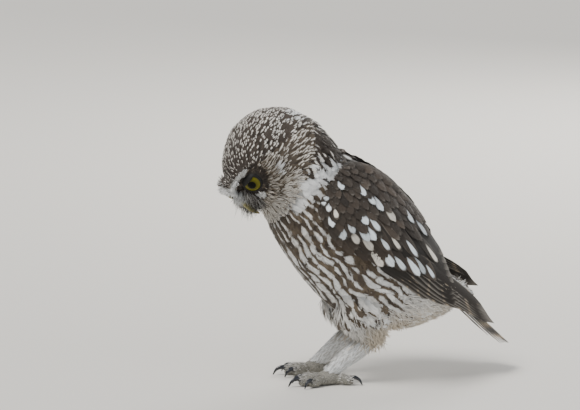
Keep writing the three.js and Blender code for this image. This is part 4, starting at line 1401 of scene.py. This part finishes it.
def large_vanes(rng, centre, normal, half, columns=5, thick=0.3, widest=0.55, point=1.0, ragged=0.05,
                camber=0.12):
    """Closed vanes on given centre lines, (n, rows, 3). Across each row the top goes from edge to edge
    over the shaft, and the bottom comes back a little below it."""
    n, rows = centre.shape[:2]
    s = np.linspace(0, 1, rows)[None]
    way = unit(np.gradient(centre, axis=1))
    cross = unit(np.cross(normal, way))
    rising = np.sqrt(np.clip(1 - (1 - np.minimum(s / widest, 1)) ** 2, 0, 1)) * 0.8 + 0.2
    falling = np.sqrt(np.clip(1 - (np.maximum(s - widest, 0) / (1 - widest)) ** (1 + point), 0.0004, 1))
    width = np.asarray(half)[:, None] * rising * falling * (1 + rng.uniform(-ragged, ragged, (n, rows)))
    u = np.linspace(-1, 1, columns)[None, None]
    offset = u[..., None] * width[..., None, None]
    drop = (u * u * camber)[..., None] * width[..., None, None]
    top = centre[:, :, None] + cross[:, :, None] * offset - normal[:, :, None] * drop
    under = top[:, :, ::-1][:, :, 1:-1] - normal[:, :, None] * thick
    ring = np.concatenate([top, under], 2)
    seat = np.broadcast_to(0.5 + 0.5 * u * (width / np.asarray(half)[:, None])[..., None], top.shape[:-1])
    v = np.broadcast_to(s[..., None], top.shape[:-1])
    vane = np.stack([seat, v], -1)
    return {"ring": ring, "vane": np.concatenate([vane, vane[:, :, ::-1][:, :, 1:-1]], 2)}


def vane_faces(n, rows, around):
    """Walls of n closed vanes with that many rows and points around, and a flat cap at each end."""
    start = (np.arange(n) * rows * around)[:, None, None]
    ends = np.stack([np.arange(around)[::-1], (rows - 1) * around + np.arange(around)])
    return [(tube_quads(rows, around)[None] + start).reshape(-1, 4), (ends[None] + start).reshape(-1, around)]


def vane_piece(name, batches, slot, replaces=()):
    """Joins batches of large vanes; each gets a cell of its own on the OFBake unwrap, in rows."""
    across = int(np.ceil(np.sqrt(sum(len(batch["ring"]) for batch in batches))))
    layers, at = Layers(), 0
    for batch in batches:
        n, rows, around = batch["ring"].shape[:3]
        points, vane = batch["ring"].reshape(n, -1, 3), batch["vane"].reshape(n, -1, 2)
        number = np.arange(at, at + n)
        corner = np.stack([number % across, number // across], -1)[:, None]
        layers.add(batch, points, outward(points.reshape(-1, 3), vane_faces(n, rows, around)), vane,
                   (corner + 0.06 + 0.88 * vane) / across, number * 0.37 % 11)
        at += n
    layers.piece(name, slot, replaces)


def lines_over(surface, facing, a0, b0, a1, b1, low, high, rows):
    """Centre lines of vanes over surface(a, b), straight in its own coordinates, rising from low to high
    above it, and the surface's normals there on the side that faces the given way."""
    s = np.linspace(0, 1, rows)[None]
    a = a0[:, None] + (a1 - a0)[:, None] * s
    b = b0[:, None] + (b1 - b0)[:, None] * s
    e = 0.004
    point = surface(a, b)
    normal = unit(np.cross(surface(a + e, b) - surface(a - e, b), surface(a, b + e) - surface(a, b - e)))
    normal = normal * np.sign((normal * facing).sum(-1).mean())
    height = low[:, None] + (high - low)[:, None] * s
    return point + normal * height[..., None], normal


def wing_lines(side, *ends):
    """Centre lines over the folded wing, whose outward side is the bird's own side."""
    return lines_over(lambda a, b: wing_at(side, a, b), np.array([0.0, side, 0.0]), *ends)


def mantle_at(side, a, m):
    """A point of the back between the wings: m goes from the wing's high edge, 0, to the spine, 1."""
    along = np.interp(a, [0, 0.17, 0.33, 0.5, 0.67], [0.72, 0.62, 0.52, 0.42, 0.33])
    spine = limb(TRUNK, FORWARD, along, np.pi, 0.5)
    edge = wing_at(side, np.maximum(a, 0), np.full_like(a, 0.95))
    return mix(edge, spine, m) + UP * (2.5 * m * (1 - m))[..., None]


# Coverts: a of the tips, count, b from and to, length in a, half width and height over the wing
COVERTS = [
    (-0.02, 9, 0.10, 0.90, 0.085, 2.6, 1.1),
    (0.02, 10, 0.07, 0.90, 0.09, 2.8, 1.4),
    (0.06, 10, 0.05, 0.90, 0.10, 3.1, 1.6),
    (0.105, 10, 0.04, 0.90, 0.11, 3.4, 1.8),
    (0.15, 10, 0.04, 0.88, 0.12, 3.7, 1.9),
    (0.20, 10, 0.04, 0.86, 0.13, 4.0, 1.9),
    (0.25, 10, 0.04, 0.84, 0.14, 4.3, 1.9),
    (0.31, 9, 0.05, 0.82, 0.16, 4.7, 1.8),
    (0.38, 9, 0.04, 0.80, 0.18, 5.0, 1.7),
    (0.46, 8, 0.06, 0.80, 0.20, 5.2, 1.5),
]

# White drops of the folded wing: a, b and size of each; the nearest feather carries it near its tip
DROPS = np.array([
    (0.04, 0.70, 1.0), (0.16, 0.82, 1.1), (0.215, 0.79, 0.9), (0.26, 0.78, 1.1), (0.325, 0.76, 1.2),
    (0.42, 0.90, 1.0), (0.505, 0.92, 1.0), (0.0, 0.35, 0.7), (0.0, 0.25, 0.6), (0.035, 0.28, 0.7),
    (0.085, 0.33, 0.6), (0.08, 0.19, 1.0), (0.15, 0.21, 1.1), (0.18, 0.36, 0.8), (0.215, 0.55, 1.1),
    (0.21, 0.27, 0.9), (0.245, 0.37, 1.1), (0.265, 0.42, 1.0), (0.27, 0.28, 0.9), (0.27, 0.55, 0.8),
    (0.34, 0.38, 0.6), (0.385, 0.47, 0.6), (0.335, 0.14, 1.0), (0.375, 0.22, 1.0), (0.435, 0.24, 0.7),
    (0.465, 0.54, 0.7), (0.50, 0.30, 0.9), (0.525, 0.39, 0.8), (0.58, 0.72, 0.9), (0.585, 0.43, 0.6)])
DROP_AT, DROP_WIDE, DROP_LONG = 0.76, 0.6, 0.24


def covert_rows(rng):
    """Ends of every covert and scapular in the wing's coordinates: roots, tips, half width, height and
    whether it is a scapular, row after row from the shoulder back."""
    rows = []
    for tip_a, count, b_from, b_to, length, half, high in COVERTS:
        b1 = np.linspace(b_from, b_to, count) + rng.uniform(-0.02, 0.02, count)
        a1 = tip_a + 0.06 * (b1 - 0.3) + rng.uniform(-0.01, 0.01, count)
        one = np.ones(count)
        b0 = np.minimum(b1 + 0.06 + 1.1 * length, 1.03 + 0.02 * b1)
        rows.append(np.column_stack([a1 - 0.85 * length, b0, a1, b1, half * one, high * one, 0 * one]))
    for row, b_tip in enumerate((1.04, 0.95, 0.86, 0.75)):
        tips = np.linspace(0.0, 0.54, 10) + 0.03 * (row % 2)
        a1 = tips + rng.uniform(-0.01, 0.01, 10)
        one = np.ones(10)
        rows.append(np.column_stack([a1 - 0.11 - 0.07 * tips, np.minimum(b_tip + 0.2, 1.1) * one, a1,
                                     b_tip + rng.uniform(-0.02, 0.02, 10), 4.0 + 2.2 * tips,
                                     (2.7 - 0.25 * row) * one, one]))
    return np.vstack(rows)


def covert_batch(rng, side, paints):
    """Scapulars and coverts, each over the ones behind it; those nearest the listed drops carry one."""
    a0, b0, a1, b1, half, high, scapular = covert_rows(rng).T
    n = len(a0)
    seat = np.stack([a0 + (a1 - a0) * DROP_AT, b0 + (b1 - b0) * DROP_AT], -1)
    spot = np.tile(NO_SPOT, (n, 1))
    free = np.ones(n, bool)
    for a, b, size in DROPS:
        gap = np.hypot((seat[:, 0] - a) * 1.6, seat[:, 1] - b) + np.where(free, 0, 9)
        i = gap.argmin()
        free[i] = False
        spot[i] = DROP_AT, DROP_WIDE * size * 4.2 / half[i], DROP_LONG * size
        # The feather moves until its drop lies at the listed place
        to_a, to_b = np.array([a, b]) - seat[i]
        a0[i], a1[i], b0[i], b1[i] = a0[i] + to_a, a1[i] + to_a, b0[i] + to_b, b1[i] + to_b
    high = high + np.where(free, 0.0, 0.25)
    centre, normal = wing_lines(side, a0, b0, a1, b1, np.where(scapular > 0, -0.4, -0.7), high, 10)
    vanes = large_vanes(rng, centre, normal, half, columns=7, ragged=0.06, point=0.9)
    ground = mix(paints["brown"], paints["dark"], rng.uniform(0, 0.9, n))
    warm = (rng.random(n) < 0.25)[:, None]
    drop = np.where(warm, mix(paints["shaded_wing_white"], paints["cream"], 0.7), paints["shaded_wing_white"])
    return {**vanes, **marked(n, ground, drop, spot, rng.uniform(0.75, 1.45, n), fringe=rng.uniform(0, 0.14, n))}


def flight_batches(rng, side, paints):
    """Secondaries under the coverts, darkened with painted shade, and primaries below and behind them, with pale
    bars and notches.
    """
    f = np.linspace(0, 1, 9)
    centre, normal = wing_lines(side, np.full(9, 0.38), 0.32 + 0.62 * f, 0.8 - 0.13 * f, 0.3 + 0.67 * f,
                                np.full(9, -0.3), 0.7 + 0.9 * f, 12)
    # Painted shade: the secondaries' brown and buff are taken down to three quarters and seven tenths, for the shade
    # under the coverts
    made = [{**large_vanes(rng, centre, normal, np.full(9, 7.0), ragged=0.04, widest=0.6, point=1.4),
             **marked(9, paints["dark"] * 0.75, paints["buff"] * 0.7, LOW_NO_SPOT, rng.uniform(0.9, 1.1, 9),
                      fringe=0.34, bars=-4.5)}]
    i = np.arange(9)
    a1 = np.where(i < 4, 0.66 + 0.085 * i, 1 - 0.012 * (i - 4))
    high = 0.2 + 0.14 * i
    centre, normal = wing_lines(side, np.full(9, 0.36), 0.06 + 0.04 * i, a1, 0.04 + 0.085 * i, high - 0.8, high,
                                14)
    made.append({**large_vanes(rng, centre, normal, 5.2 - 0.1 * i, ragged=0.03, widest=0.7, point=1.6),
                 **marked(9, paints["dark"], paints["buff"], LOW_NO_SPOT, rng.uniform(0.9, 1.1, 9), fringe=0.3,
                          bars=-4.5)})
    return made


LOW_NO_SPOT = (0.9, 0.01, 0.01)


def mantle_batch(rng, side, paints):
    """Broad feathers over the back between spine and wing, row after row, a few with a pale drop."""
    tips, m = (v.ravel() for v in np.meshgrid(np.linspace(0.0, 0.66, 9), (1.0, 0.72, 0.44, 0.16), indexing="ij"))
    n = len(tips)
    tips = tips + 0.04 * ((m * 3.6).astype(int) % 2) + rng.uniform(-0.01, 0.01, n)
    centre, normal = lines_over(lambda a, b: mantle_at(side, a, b), np.array([0.4, 0.0, 0.9]), tips - 0.17, m,
                                tips, m - 0.08, np.full(n, -0.6), 1.9 - 0.8 * np.abs(m - 0.7), 10)
    vanes = large_vanes(rng, centre, normal, rng.uniform(4.4, 5.4, n), columns=7, ragged=0.07, point=0.9)
    spotted = (rng.random(n) < 0.3) & (m > 0.3)
    spot = np.where(spotted[:, None], (DROP_AT, 0.42, 0.2), NO_SPOT)
    ground = mix(paints["brown"], paints["dark"], rng.uniform(0, 0.8, n))
    return {**vanes, **marked(n, ground, mix(paints["shaded_wing_white"], paints["cream"], 0.3), spot,
                              rng.uniform(0.8, 1.35, n), fringe=rng.uniform(0, 0.12, n))}


def wing_barbs(rng, batch, count):
    """Loose barbs over the coverts, which keep the coverts' markings."""
    n, lines = len(batch["ring"]), (3, 0, 6)
    made = barbs(rng, [batch["ring"][:, :, k] for k in lines], [batch["vane"][:, :, k] for k in lines], count,
                 0.13, forward=0.75, beyond=1.0, lift=0.03)
    return {**made, "place": np.repeat(small_places(n, 0.05, 0.07, 13), count, axis=0),
            "seed": np.repeat((np.arange(n) + 18) * 0.37 % 11, count), **kept(batch, count)}


def wing_core(side):
    """The thin closed body of the wing under its feathers."""
    def shape(t, angle):
        a = 0.03 + 0.57 * t
        b = 0.48 + (0.4 - 0.06 * t) * np.sin(angle)
        point = wing_at(side, a, b)
        inward = np.array([0.0, -side, -0.1])
        return point + inward * ((1 - np.cos(angle)) * 0.5 * (5 - 3.6 * t) + 0.8)[..., None]
    return loft(shape, 20, 28)


class OWL_OT_wings(bpy.types.Operator):
    """Folded wings: a thin core, scapulars, rows of coverts, secondaries and primaries"""
    bl_idname = "owl.wings"
    bl_label = "Wings"

    def execute(self, context):
        paints = palette()
        for number, (name, side) in enumerate(SIDES.items()):
            rng = np.random.default_rng(sizes().seed + 20 + number)
            batches = [*flight_batches(rng, side, paints), covert_batch(rng, side, paints)]
            vane_piece(f"wing_feathers_{name}", batches, "wing_plumage", [f"wing_{name}"])
            coat_piece(f"wing_barbs_{name}", [wing_barbs(rng, batches[-1], 30)], "wing_plumage")
            down = plain_material(f"wing_down_{name}", (0.05, 0.04, 0.03), (0.09, 0.07, 0.055), 300.0,
                                  Roughness=0.85)
            core = f"wing_core_{name}"
            add_piece(core, make_mesh(core, *wing_core(side)), down)
        rng = np.random.default_rng(sizes().seed + 30)
        vane_piece("mantle", [mantle_batch(rng, side, paints) for side in SIDES.values()], "body_plumage")
        return {"FINISHED"}


def tail_vanes(rng, t, reach, height, half, **shape):
    """Vanes along the tail: t across it, reach along it and height above it, each (n, rows)."""
    centre = tail_at(t, reach, height)
    up = np.broadcast_to(unit(TAIL_UP), centre.shape)
    return large_vanes(rng, centre, up, np.full(len(t), half), **shape)


class OWL_OT_tail(bpy.types.Operator):
    """Twelve barred tail feathers, and the coverts above their roots"""
    bl_idname = "owl.tail"
    bl_label = "Tail"

    def execute(self, context):
        paints = palette()
        rng = np.random.default_rng(sizes().seed + 40)
        order = np.repeat(np.arange(6), 2)
        t = np.tile([-1, 1], 6) * (order + 0.4) / 6
        wide = lambda v: np.broadcast_to(v[:, None], (12, 12))
        feathers = {**tail_vanes(rng, wide(t), (1 - 0.025 * order)[:, None] * np.linspace(0, 1, 12)[None],
                                 wide(-0.55 * order), 5.4, ragged=0.04, widest=0.75, point=1.6),
                    **marked(12, paints["brown"] * 0.8, paints["buff"], LOW_NO_SPOT, rng.uniform(0.9, 1.1, 12),
                             fringe=0.12, bars=5.0)}
        t = np.linspace(-0.8, 0.8, 10)[:, None]
        s = np.linspace(0, 1, 9)[None]
        coverts = {**tail_vanes(rng, t * (1 - 0.15 * s), 0.04 + (0.4 - 0.1 * np.abs(t)) * s,
                                (1.0 + 1.8 * (1 - t * t)) * (1 - 0.6 * s), 3.6, ragged=0.1),
                   **marked(10, paints["brown"], paints["cream"], (0.7, 0.3, 0.1), rng.uniform(0.85, 1.1, 10))}
        vane_piece("tail_feathers", [feathers, coverts], "tail_plumage", ["tail"])
        return {"FINISHED"}


# ---------------------------------------------------------------- eyes, bill and feet

def ball_grid(side):
    """The eyeball: a sphere about its outlook that swells by half a millimetre over the pupil."""
    look, across, up = eye_axes(side)

    def shape(t, angle):
        turn = ((0.006 + 0.988 * t) * np.pi)[..., None]
        radius = EYE_RADIUS - 0.05 + 0.5 * np.exp(-(turn / 0.6) ** 2)
        ring = across * np.cos(angle)[..., None] + up * np.sin(angle)[..., None]
        return from_head(eye_centre(side) + radius * (look * np.cos(turn) + ring * np.sin(turn)))
    return loft(shape, 72, 72)


# The lids' section, from the opening out: sideways, and forward of the eyeball
LID_SECTION = np.array([[-0.3, -0.5], [-0.1, 0.3], [0.25, 0.6], [0.8, 0.65], [1.5, 0.25], [1.9, -0.9],
                        [0.8, -1.2]])


def lid_ring(side):
    """The black rim of the lids: a ring around the opening, cut level above, swept with a rounded ridge. Its low top
    stands partly for the lid and partly for the brow's painted shade over the iris.
    """
    look, across, up = eye_axes(side)
    n, around = 96, len(LID_SECTION)
    angle, k = np.meshgrid(np.arange(n) / n * 2 * np.pi, np.arange(around), indexing="ij")
    out, forward = LID_SECTION[k, 0], LID_SECTION[k, 1]
    x, y = (IRIS_RADIUS + out) * np.cos(angle), (IRIS_RADIUS + out) * np.sin(angle)
    cut = LID_AND_SHADE_TOP * IRIS_RADIUS + np.maximum(out, 0) * 0.9
    y = np.where((k == 4) | (k == 5), y, np.minimum(y, cut))
    y = np.maximum(y, -IRIS_RADIUS * 0.97 - np.maximum(out, 0))
    height = np.sqrt(np.maximum(EYE_RADIUS ** 2 - (x * x + y * y), 3.0)) + forward + 0.25
    points = from_head(eye_centre(side) + look * height[..., None] + across * x[..., None] + up * y[..., None])
    points = points.reshape(-1, 3)
    return points, outward(points, [tube_quads(n + 1, around) % (n * around)])


class OWL_OT_eyes(bpy.types.Operator):
    """Eyeballs with iris and pupil, and the black rims of their lids"""
    bl_idname = "owl.eyes"
    bl_label = "Eyes"

    def execute(self, context):
        gloss = iris_material(colours().iris)
        lid = plain_material("owl_lid", (0.006, 0.006, 0.006), (0.014, 0.013, 0.012), 1500.0, bump=0.4,
                             Roughness=0.55, Specular_IOR_Level=0.25)
        for name, side in HEAD_SIDES.items():
            points, faces = ball_grid(side)
            mesh = make_mesh(f"eyeball_{name}", points, faces)
            look, across, up = eye_axes(side)
            away = to_head(points) - eye_centre(side)
            x, y = away @ across, away @ up
            reach = np.where(away @ look > 0, np.hypot(x, y), 20.0)
            turn = np.arctan2(y, x)
            point_layer(mesh, "ring", np.stack([reach / IRIS_RADIUS, np.cos(turn), np.sin(turn)], -1))
            add_piece(f"eyeball_{name}", mesh, gloss, [f"eye_{name}"])
            add_piece(f"lid_{name}", make_mesh(f"lid_{name}", *lid_ring(side)), lid)
        return {"FINISHED"}


def horn_form(rows, rings, around):
    """A tube of horn along its rows, with how far along it each point is."""
    points, faces = loft(lambda t, a: limb(rows, UP, t, a), rings, around)
    along = np.concatenate([np.repeat(np.linspace(0, 1, rings), around), [0, 1]])
    return points, faces, along


class OWL_OT_bill(bpy.types.Operator):
    """Hooked upper bill with its cere, dark eggs of painted shade for the nostrils, and the lower bill"""
    bl_idname = "owl.bill"
    bl_label = "Bill"

    def execute(self, context):
        horn = bill_material(colours().bill)
        for half, rows, rings, around in (("upper", UPPER_BILL, 40, 36), ("lower", LOWER_BILL, 24, 28)):
            points, faces, along = horn_form(rows, rings, around)
            if half == "upper":
                # A keel along the ridge
                centre = curve_at(rows[:, :3], np.clip(along, 0, 1))
                points[:, 1] *= 1 - 0.16 * ease(points[:, 2] - centre[:, 2], 0.0, 3.0)
            mesh = make_mesh(f"{half}_bill", from_head(points), outward(from_head(points), faces))
            along_layer(mesh, along)
            add_piece(f"{half}_bill", mesh, horn, [f"bill_{half}"])
        cere = plain_material("owl_cere", (0.1, 0.1, 0.07), (0.2, 0.2, 0.13), 900.0, Roughness=0.45)
        add_piece("cere", make_mesh("cere", *egg((21.6, 0, 2.6), (4.4, 5.0, 4.6))), cere)
        # Painted shade: dark eggs on the cere stand for the shade inside the nostril openings
        nostrils = joined([egg((24.6, 3.3 * side, 3.2), (1.1, 0.9, 1.2)) for side in HEAD_SIDES.values()])
        dark = plain_material("owl_nostril", (0.01, 0.01, 0.008), (0.02, 0.018, 0.015), 900.0, Roughness=0.6)
        add_piece("nostrils", make_mesh("nostrils", *nostrils), dark)
        return {"FINISHED"}


def toe_rows(side, heading, length, thick):
    """A toe's rows from the ankle out: reach, height and size, with a pad at each joint."""
    turn = np.radians(heading)
    way = np.array([-np.cos(turn), np.sin(turn) * side, 0.0])
    profile = np.array([[2, 3.6, 0.95], [0.3 * length, 3.6, 1.0], [0.58 * length, 4.5, 1.05],
                        [0.84 * length, 3.2, 1.0], [length, 3.6, 0.7]])
    t = np.linspace(0, 1, 17)
    fine = curve_at(profile, t)
    knuckle = 1 + 0.07 * np.cos(t * 2 * np.pi * 3)
    base = np.array([-12.0, STANCE * side, 0.0])
    size = thick * fine[:, 2] * knuckle
    middle = base + way * fine[:, :1] + UP * np.maximum(fine[:, 1:2] * thick / 3.3, size[:, None] * 1.02)
    return np.column_stack([middle, size, size * 0.95]), way, base


def claw_rows(way, base, length, claw):
    """A claw's rows: up, over and down to the ground."""
    profile = np.array([[0, 4.2, 1.7], [0.35 * claw, 5.4, 1.5], [0.75 * claw, 4.0, 1.0], [claw, 0.5, 0.35]])
    middle = base + way * (length - 1.2 + profile[:, :1]) + UP * profile[:, 1:2]
    return np.column_stack([middle, profile[:, 2], profile[:, 2] * 0.8])


class OWL_OT_feet(bpy.types.Operator):
    """Toes with knuckles, pads and plates, their short bristles, and hooked claws"""
    bl_idname = "owl.feet"
    bl_label = "Feet"

    def execute(self, context):
        skin, horn = toe_material(colours().toe), claw_material(colours().claw)
        rng = np.random.default_rng(sizes().seed + 60)
        batches = []
        for name, side in SIDES.items():
            toes, claws, reach = [], [], []
            for heading, length, thick, claw in TOES:
                rows, way, base = toe_rows(side, heading, length, thick)
                toes.append(loft(lambda t, a: limb(rows, UP, t, a), 44, 20))
                points, faces, along = horn_form(claw_rows(way, base, length, claw), 24, 18)
                points[:, 2] = np.maximum(points[:, 2], 0.02)
                claws.append((points, faces))
                reach.append(along)
                batches.append(toe_bristles(rng, rows, way, palette()))
            points, faces = egg((0, 0, 0), (1, 1, 1))
            ball = to_head(points) * np.array([8, 6.6, 5.2]) + np.array([-13, STANCE * side, 4.6])
            ball[:, 2] = np.maximum(ball[:, 2], 0.02)
            toes.append((ball, outward(ball, faces)))
            points, faces = joined(toes)
            points[:, 2] = np.maximum(points[:, 2], 0.02)
            add_piece(f"toes_{name}", make_mesh(f"toes_{name}", points, faces), skin,
                      [f"foot_{name}"] + [f"toe_{name}_{i + 1}" for i in range(4)])
            points, faces = joined(claws)
            mesh = make_mesh(f"claws_{name}", points, faces)
            along_layer(mesh, np.concatenate(reach))
            add_piece(f"claws_{name}", mesh, horn, [f"claw_{name}_{i + 1}" for i in range(4)])
        coat_piece("toe_bristles", batches, "leg_plumage")
        return {"FINISHED"}


def toe_bristles(rng, rows, way, paints):
    """Short pale bristles along the top and sides of one toe, thinning out to the claw."""
    n = 260
    t = rng.random(n) ** 1.3 * 0.9
    angle = rng.normal(0, 0.75, n)
    root = limb(rows, UP, t, angle, -0.3)
    centre = curve_at(rows[:, :3], t)
    out = unit(root - centre)
    lay = unit(way + out * 0.35 + rng.normal(0, 0.18, (n, 3)))
    colour = mix(paints["white"], paints["buff"], 0.25)
    return {**plumes(rng, root, lay, out, rng.uniform(2.2, 4.0, n), 0.26, 0.5, 16.0, HAIR_ROWS, ragged=0.1,
                     point=0.2, thick=0.08),
            "place": small_places(n, 0.05, 0.0035, 20),
            **marked(n, colour, colour, NO_SPOT, rng.uniform(0.7, 1.0, n))}


# ---------------------------------------------------------------- stage

def view_axes():
    """The camera's right, up and back directions from its turn to the left and its rise."""
    turn, rise = np.radians([CAMERA_TURN, CAMERA_RISE])
    right = np.array([np.cos(turn), -np.sin(turn), 0])
    up = np.array([np.sin(turn) * np.sin(rise), np.cos(turn) * np.sin(rise), np.cos(rise)])
    return right, up, np.cross(right, up)


def stand(name, data, axes, location=(0.0, 0.0, 0.0)):
    """A lamp or camera at the location, in metres, with its right, up and back directions."""
    turn = Matrix(np.column_stack(axes).tolist()).to_4x4()
    turn.translation = location
    thing = linked(name, data)
    thing.matrix_world = turn
    return thing


def lamp(name, kind, back, power, colour, location=(0.0, 0.0, 0.0), **shape):
    """A soft lamp that shines from the back direction; a sun lights the whole floor alike."""
    data = bpy.data.lights.new(name, kind)
    data.energy, data.color = power, colour
    for key, value in shape.items():
        setattr(data, key, value)
    back = unit(back)
    right = unit(np.cross(UP, back))
    stand(name, data, (right, np.cross(back, right), back), location)


class OWL_OT_stage(bpy.types.Operator):
    """Pale floor, soft lamps, pale surroundings and the camera"""
    bl_idname = "owl.stage"
    bl_label = "Stage"

    def execute(self, context):
        corners = FLOOR_REACH * np.array([[-1, -1, 0], [1, -1, 0], [1, 1, 0], [-1, 1, 0]])
        floor = linked("floor", make_mesh("floor", corners, [np.array([[0, 1, 2, 3]])]))
        floor.data.materials.append(Shade("floor").finish(opaque(colours().floor), Roughness=0.9))
        world = bpy.data.worlds.new("pale_room")
        world.use_nodes = True
        sky = world.node_tree.nodes["Background"].inputs
        sky[0].default_value, sky[1].default_value = (0.9, 0.94, 1.0, 1), 0.42
        bpy.context.scene.world = world
        right, up, back = view_axes()
        lamp("key", "SUN", right * -0.6 + up * 1.2 + back * 0.6, 3.1, (1, 0.97, 0.92), angle=0.45)
        for name, way, size, power, colour in (
                ("fill", right * 0.9 + up * 0.35 + back * 0.9, 1.2, 4.0, (0.9, 0.95, 1)),
                ("rim", right * 0.5 + up * 0.8 - back * 1.0, 0.7, 12.0, (1, 0.97, 0.92))):
            lamp(name, "AREA", way, power, colour, UP * 0.1 + way, size=size)
        data = bpy.data.cameras.new("camera")
        data.sensor_fit, data.sensor_width = "HORIZONTAL", 36.0
        data.lens = data.sensor_width * CAMERA_DISTANCE / VIEW_WIDTH
        data.clip_start, data.clip_end = 0.05, 60.0
        spot = right * VIEW_CENTRE[0] + up * VIEW_CENTRE[1] + back * CAMERA_DISTANCE
        bpy.context.scene.camera = stand("camera", data, (right, up, back), (spot + SHIFT) * MM)
        return {"FINISHED"}


STEPS = [OWL_OT_skin, OWL_OT_head_coat, OWL_OT_body_coat, OWL_OT_leg_coat, OWL_OT_wings, OWL_OT_tail,
         OWL_OT_eyes, OWL_OT_bill, OWL_OT_feet, OWL_OT_stage]


class OWL_PT_panel(bpy.types.Panel):
    """Lists the owl's sizes, colours and steps in the sidebar"""
    bl_idname = "OWL_PT_panel"
    bl_label = "Little owl"
    bl_space_type = "VIEW_3D"
    bl_region_type = "UI"
    bl_category = "Little owl"

    def draw(self, context):
        for group in (context.scene.owl_sizes, context.scene.owl_colours):
            for field in group.__annotations__:
                self.layout.prop(group, field)
        for step in STEPS:
            self.layout.operator(step.bl_idname)


CLASSES = [OwlSizes, OwlColours, *STEPS, OWL_PT_panel]


def register():
    for item in CLASSES:
        bpy.utils.register_class(item)
    bpy.types.Scene.owl_sizes = PointerProperty(type=OwlSizes)
    bpy.types.Scene.owl_colours = PointerProperty(type=OwlColours)


def unregister():
    del bpy.types.Scene.owl_colours
    del bpy.types.Scene.owl_sizes
    for item in reversed(CLASSES):
        bpy.utils.unregister_class(item)


def main():
    register()
    bpy.ops.owl.skin()
    bpy.ops.owl.head_coat()
    bpy.ops.owl.body_coat()
    bpy.ops.owl.leg_coat()
    bpy.ops.owl.wings()
    bpy.ops.owl.tail()
    bpy.ops.owl.eyes()
    bpy.ops.owl.bill()
    bpy.ops.owl.feet()
    bpy.ops.owl.stage()


if __name__ == "__main__":
    main()
